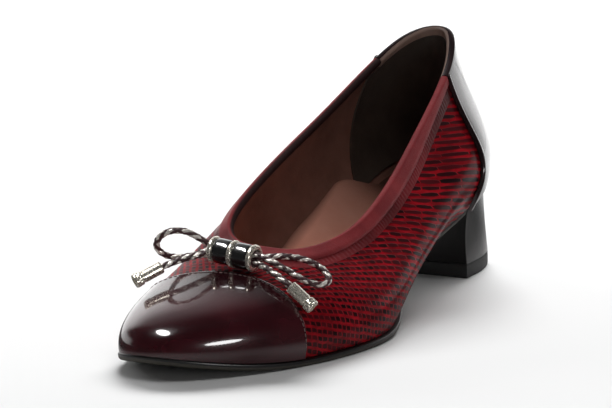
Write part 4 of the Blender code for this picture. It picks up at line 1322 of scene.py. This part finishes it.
# %% Sole edge and heel rubber
def make_sole_edge():
    """Smooth black above as painted shadow, mottled olive below as painted reflection of the floor, divided
    by the depth in the sole.
    """
    material, tree, shader = new_finish("sole_edge")
    height, mottle = use_group(tree, grain_group, 900.0)
    depth = attribute(tree, "depth")
    # painted reflection: the olive lower band stands in for the floor mirrored in the edge; the black above
    # is painted shadow
    painted_floor_reflection = mixed(tree, mottle, (0.030, 0.027, 0.020), (0.062, 0.056, 0.044))
    below = between(tree, depth, 0.46, 0.54)
    feed(tree, shader, Base_Color=mixed(tree, below, (0.006, 0.005, 0.005), painted_floor_reflection),
         Roughness=between(tree, depth, 0.4, 0.6, 0.3, 0.6),
         Normal=bumped(tree, height, 0.25, 0.1))
    return material


def make_rubber():
    """Almost black, grained, and rougher in its hollows."""
    material, tree, shader = new_finish("rubber")
    height, mottle = use_group(tree, grain_group, 1300.0)
    feed(tree, shader, Base_Color=mixed(tree, mottle, (0.008, 0.008, 0.008), (0.018, 0.018, 0.018)),
         Roughness=between(tree, height, 0.2, 1.2, 0.7, 0.55),
         Normal=bumped(tree, height, 0.25, 0.08))
    return material


wear(make_sole_edge(), outsole_leather)
wear(make_rubber(), heel_lift)

# %% [markdown]
# ## Metal and cord
#
# The rings and the cord's ends are warm silver, and the drums between the rings are a dark gunmetal that
# mirrors more sharply. Both have faint specks and ripples. The cord's dark and silver strands differ in
# metal and roughness as well as colour.

# %% Silver, gunmetal and braid
def make_metal(name, dark, light, metallic, ripples, roughness, strength, distance):
    """Polished metal whose specks change its colour and roughness, and whose ripple bends reflections."""
    material, tree, shader = new_finish(name, Metallic=metallic)
    height, specks = use_group(tree, ripple_group, ripples)
    feed(tree, shader, Base_Color=mixed(tree, specks, dark, light),
         Roughness=between(tree, specks, 0.3, 0.7, *roughness),
         Normal=bumped(tree, height, strength, distance))
    return material


def make_braid():
    """Dark leather or bright silver strands, as the number on each point says."""
    material, tree, shader = new_finish("braid")
    height, mottle = use_group(tree, grain_group, 2600.0)
    share = between(tree, attribute(tree, "silver"), 0.42, 0.70)
    dark = mixed(tree, mottle, (0.030, 0.006, 0.008), (0.075, 0.014, 0.018))
    bright = mixed(tree, mottle, (0.78, 0.72, 0.66), (0.98, 0.93, 0.86))
    feed(tree, shader, Base_Color=mixed(tree, share, dark, bright),
         Metallic=maths(tree, "MULTIPLY", share, 0.55),
         Roughness=between(tree, share, 0.0, 1.0, 0.5, 0.27),
         Normal=bumped(tree, height, 0.4, 0.1))
    return material


wear(make_metal("silver", (0.88, 0.81, 0.69), (0.98, 0.93, 0.82), metallic=0.74, ripples=140.0,
                roughness=(0.20, 0.30), strength=0.02, distance=0.1), *ferrules, *barrel[::2])
wear(make_metal("gunmetal", (0.22, 0.22, 0.22), (0.34, 0.34, 0.34), metallic=1.0, ripples=120.0,
                roughness=(0.12, 0.2), strength=0.05, distance=0.3), *barrel[1::2])
wear(make_braid(), bow_braid)

# %% [markdown]
# ## Floor and light
#
# The shoe stands on a wide matt floor that is almost white. Lacquer shows whatever stands round it, so
# what lights the shoe and what it mirrors are set apart. A bright backdrop behind the shoe draws the pale
# streaks on the patent. The floor has a painted reflection of its own for mirrors: pale near the shoe and
# behind it, dark elsewhere, standing in for the shade round the shoe and dark surroundings further off.
# Two lights are seen by mirrors alone: the hot spot on the cap from above the front left and a small glint
# from the right. Five soft lights do the rest, and mirrors don't see them.

# %% Add the floor
FLOOR_HALF = 4.0                            # half its width, m
FLOOR_MIDDLE = (0.0, 120.0, 0.0)            # the place on it under the middle of the shoe, mm
MIRRORED_NEAR, MIRRORED_FAR = (0.55, 0.54, 0.54), (0.03, 0.03, 0.03)   # painted reflection: the floor as reflections see it
MIRRORED_REACH = (60.0, 150.0)              # how far the near part goes across and along the shoe, mm
MIRRORED_BEHIND = (0.85, 0.85, 0.85)        # painted reflection of the floor behind the shoe, which only edges reflect
BEHIND = (-0.47, 0.88, 0.0)                 # the middle of what lies behind, from the shoe


def mirrored_floor(tree, where):
    """Painted reflection of the floor in mirrors: an ellipse about the shoe, and a straight border behind
    it.
    """
    from_shoe = vector_maths(tree, "SUBTRACT", where, place(FLOOR_MIDDLE).tolist())[0]
    reach = [1 / (length * MM) for length in MIRRORED_REACH] + [0.0]
    shares = vector_maths(tree, "MULTIPLY", from_shoe, reach)[0]
    apart = vector_maths(tree, "LENGTH", shares)["Value"]
    behind = vector_maths(tree, "DOT_PRODUCT", from_shoe, BEHIND)["Value"]
    near = mixed(tree, between(tree, apart, 0.9, 1.4), MIRRORED_NEAR, MIRRORED_FAR)
    return mixed(tree, between(tree, behind, 0.12, 0.28), near, MIRRORED_BEHIND)


def add_floor():
    """A square sheet on the floor plane, large enough to fill the frame."""
    corner = FLOOR_HALF * np.array([(-1, -1, 0), (1, -1, 0), (1, 1, 0), (-1, 1, 0)], float)
    mesh = bpy.data.meshes.new("floor")
    mesh.from_pydata(corner.tolist(), [], [(0, 1, 2, 3)])
    floor = bpy.data.objects.new("floor", mesh)
    bpy.context.collection.objects.link(floor)
    material, tree, shader = new_finish("floor_paper", Roughness=0.55, Specular_IOR_Level=0.0)
    where = object_place(tree)
    shade = mixed(tree, noise(tree, where, 3.0), (0.74, 0.745, 0.745), (0.78, 0.78, 0.78))
    in_mirror = add_node(tree, "ShaderNodeLightPath").outputs["Is Glossy Ray"]
    feed(tree, shader, Base_Color=mixed(tree, in_mirror, shade, mirrored_floor(tree, where)))
    mesh.materials.append(material)
    return floor


print("floor", np.round(add_floor().dimensions, 1), "m")

# %% Add the lights
LIT_PLACE = (0.0, 130.0, 30.0)              # the point that every light faces, mm
MIRROR_LIGHTS = (                           # name, direction from the shoe, distance, size, radiance
    ("key_core", (-0.31, -0.27, 0.91), 2.5, (1.5, 0.6), 22.0),
    ("glint", (0.845, -0.51, 0.07), 1.0, (0.32, 0.14), 16.0),
)
SOFT_LIGHTS = (
    ("key", (0.30, 0.02, 0.95), 2.6, (1.4, 1.4), 2.5),
    ("back", (-0.27, 0.70, 0.66), 3.0, (2.0, 0.9), 22.0),
    ("left", (-0.85, 0.25, 0.30), 3.0, (1.6, 0.8), 5.0),
    ("front", (0.75, -0.62, 0.22), 2.2, (1.6, 0.9), 0.8),
    ("fill", (0.0, 0.5, 0.87), 3.0, (4.0, 3.0), 0.15),
)


def add_light(name, towards, distance, size, radiance):
    """A round area light that faces the shoe; its power is pi times its width, height and radiance."""
    data = bpy.data.lights.new(name, "AREA")
    data.shape, data.size, data.size_y = "ELLIPSE", *size
    data.energy = math.pi * size[0] * size[1] * radiance
    light = bpy.data.objects.new(name, data)
    back = unit(np.array(towards))
    right = unit(np.cross((0.0, 0.0, 1.0), back))
    stand(light, right, np.cross(back, right), back, place(LIT_PLACE) + back * distance)
    return light


for row in MIRROR_LIGHTS:
    add_light(*row).visible_diffuse = False
for row in SOFT_LIGHTS:
    add_light(*row).visible_glossy = False
print("lights:", [row[0] for row in MIRROR_LIGHTS + SOFT_LIGHTS])

# %% Add the backdrop
GLOW, DIM = 1.5, 0.03                       # strength of the backdrop, and of everything round it


def add_backdrop():
    """Light from all round: a tall sheet behind the shoe that fades upwards, and a wider low band."""
    world = bpy.data.worlds.new("studio")
    bpy.context.scene.world = world
    world.use_nodes = True
    tree = world.node_tree
    where = add_node(tree, "ShaderNodeTexCoord").outputs["Generated"]
    x, y, z = add_node(tree, "ShaderNodeSeparateXYZ", {0: where}).outputs
    level = add_node(tree, "ShaderNodeCombineXYZ", {0: x, 1: y}).outputs[0]
    level = vector_maths(tree, "NORMALIZE", level)[0]
    behind = vector_maths(tree, "DOT_PRODUCT", level, BEHIND)["Value"]
    fading = maths(tree, "ADD", between(tree, z, 0.36, 0.66, 0.8, 0.0),
                   between(tree, z, 0.6, 1.0, 0.2, 0.0))
    tall = maths(tree, "MULTIPLY", between(tree, behind, 0.70, 0.86), fading)
    low = maths(tree, "MULTIPLY", between(tree, behind, 0.25, 0.5), between(tree, z, 0.16, 0.30, 0.8, 0.0))
    glow = maths(tree, "MULTIPLY", maths(tree, "MAXIMUM", tall, low), GLOW)
    background = tree.nodes["Background"]
    background.inputs["Color"].default_value = (1.0, 1.0, 1.0, 1.0)
    tree.links.new(maths(tree, "ADD", glow, DIM), background.inputs["Strength"])
    return world


print("backdrop:", add_backdrop().name)
bpy.context.scene.view_settings.view_transform = "Standard"
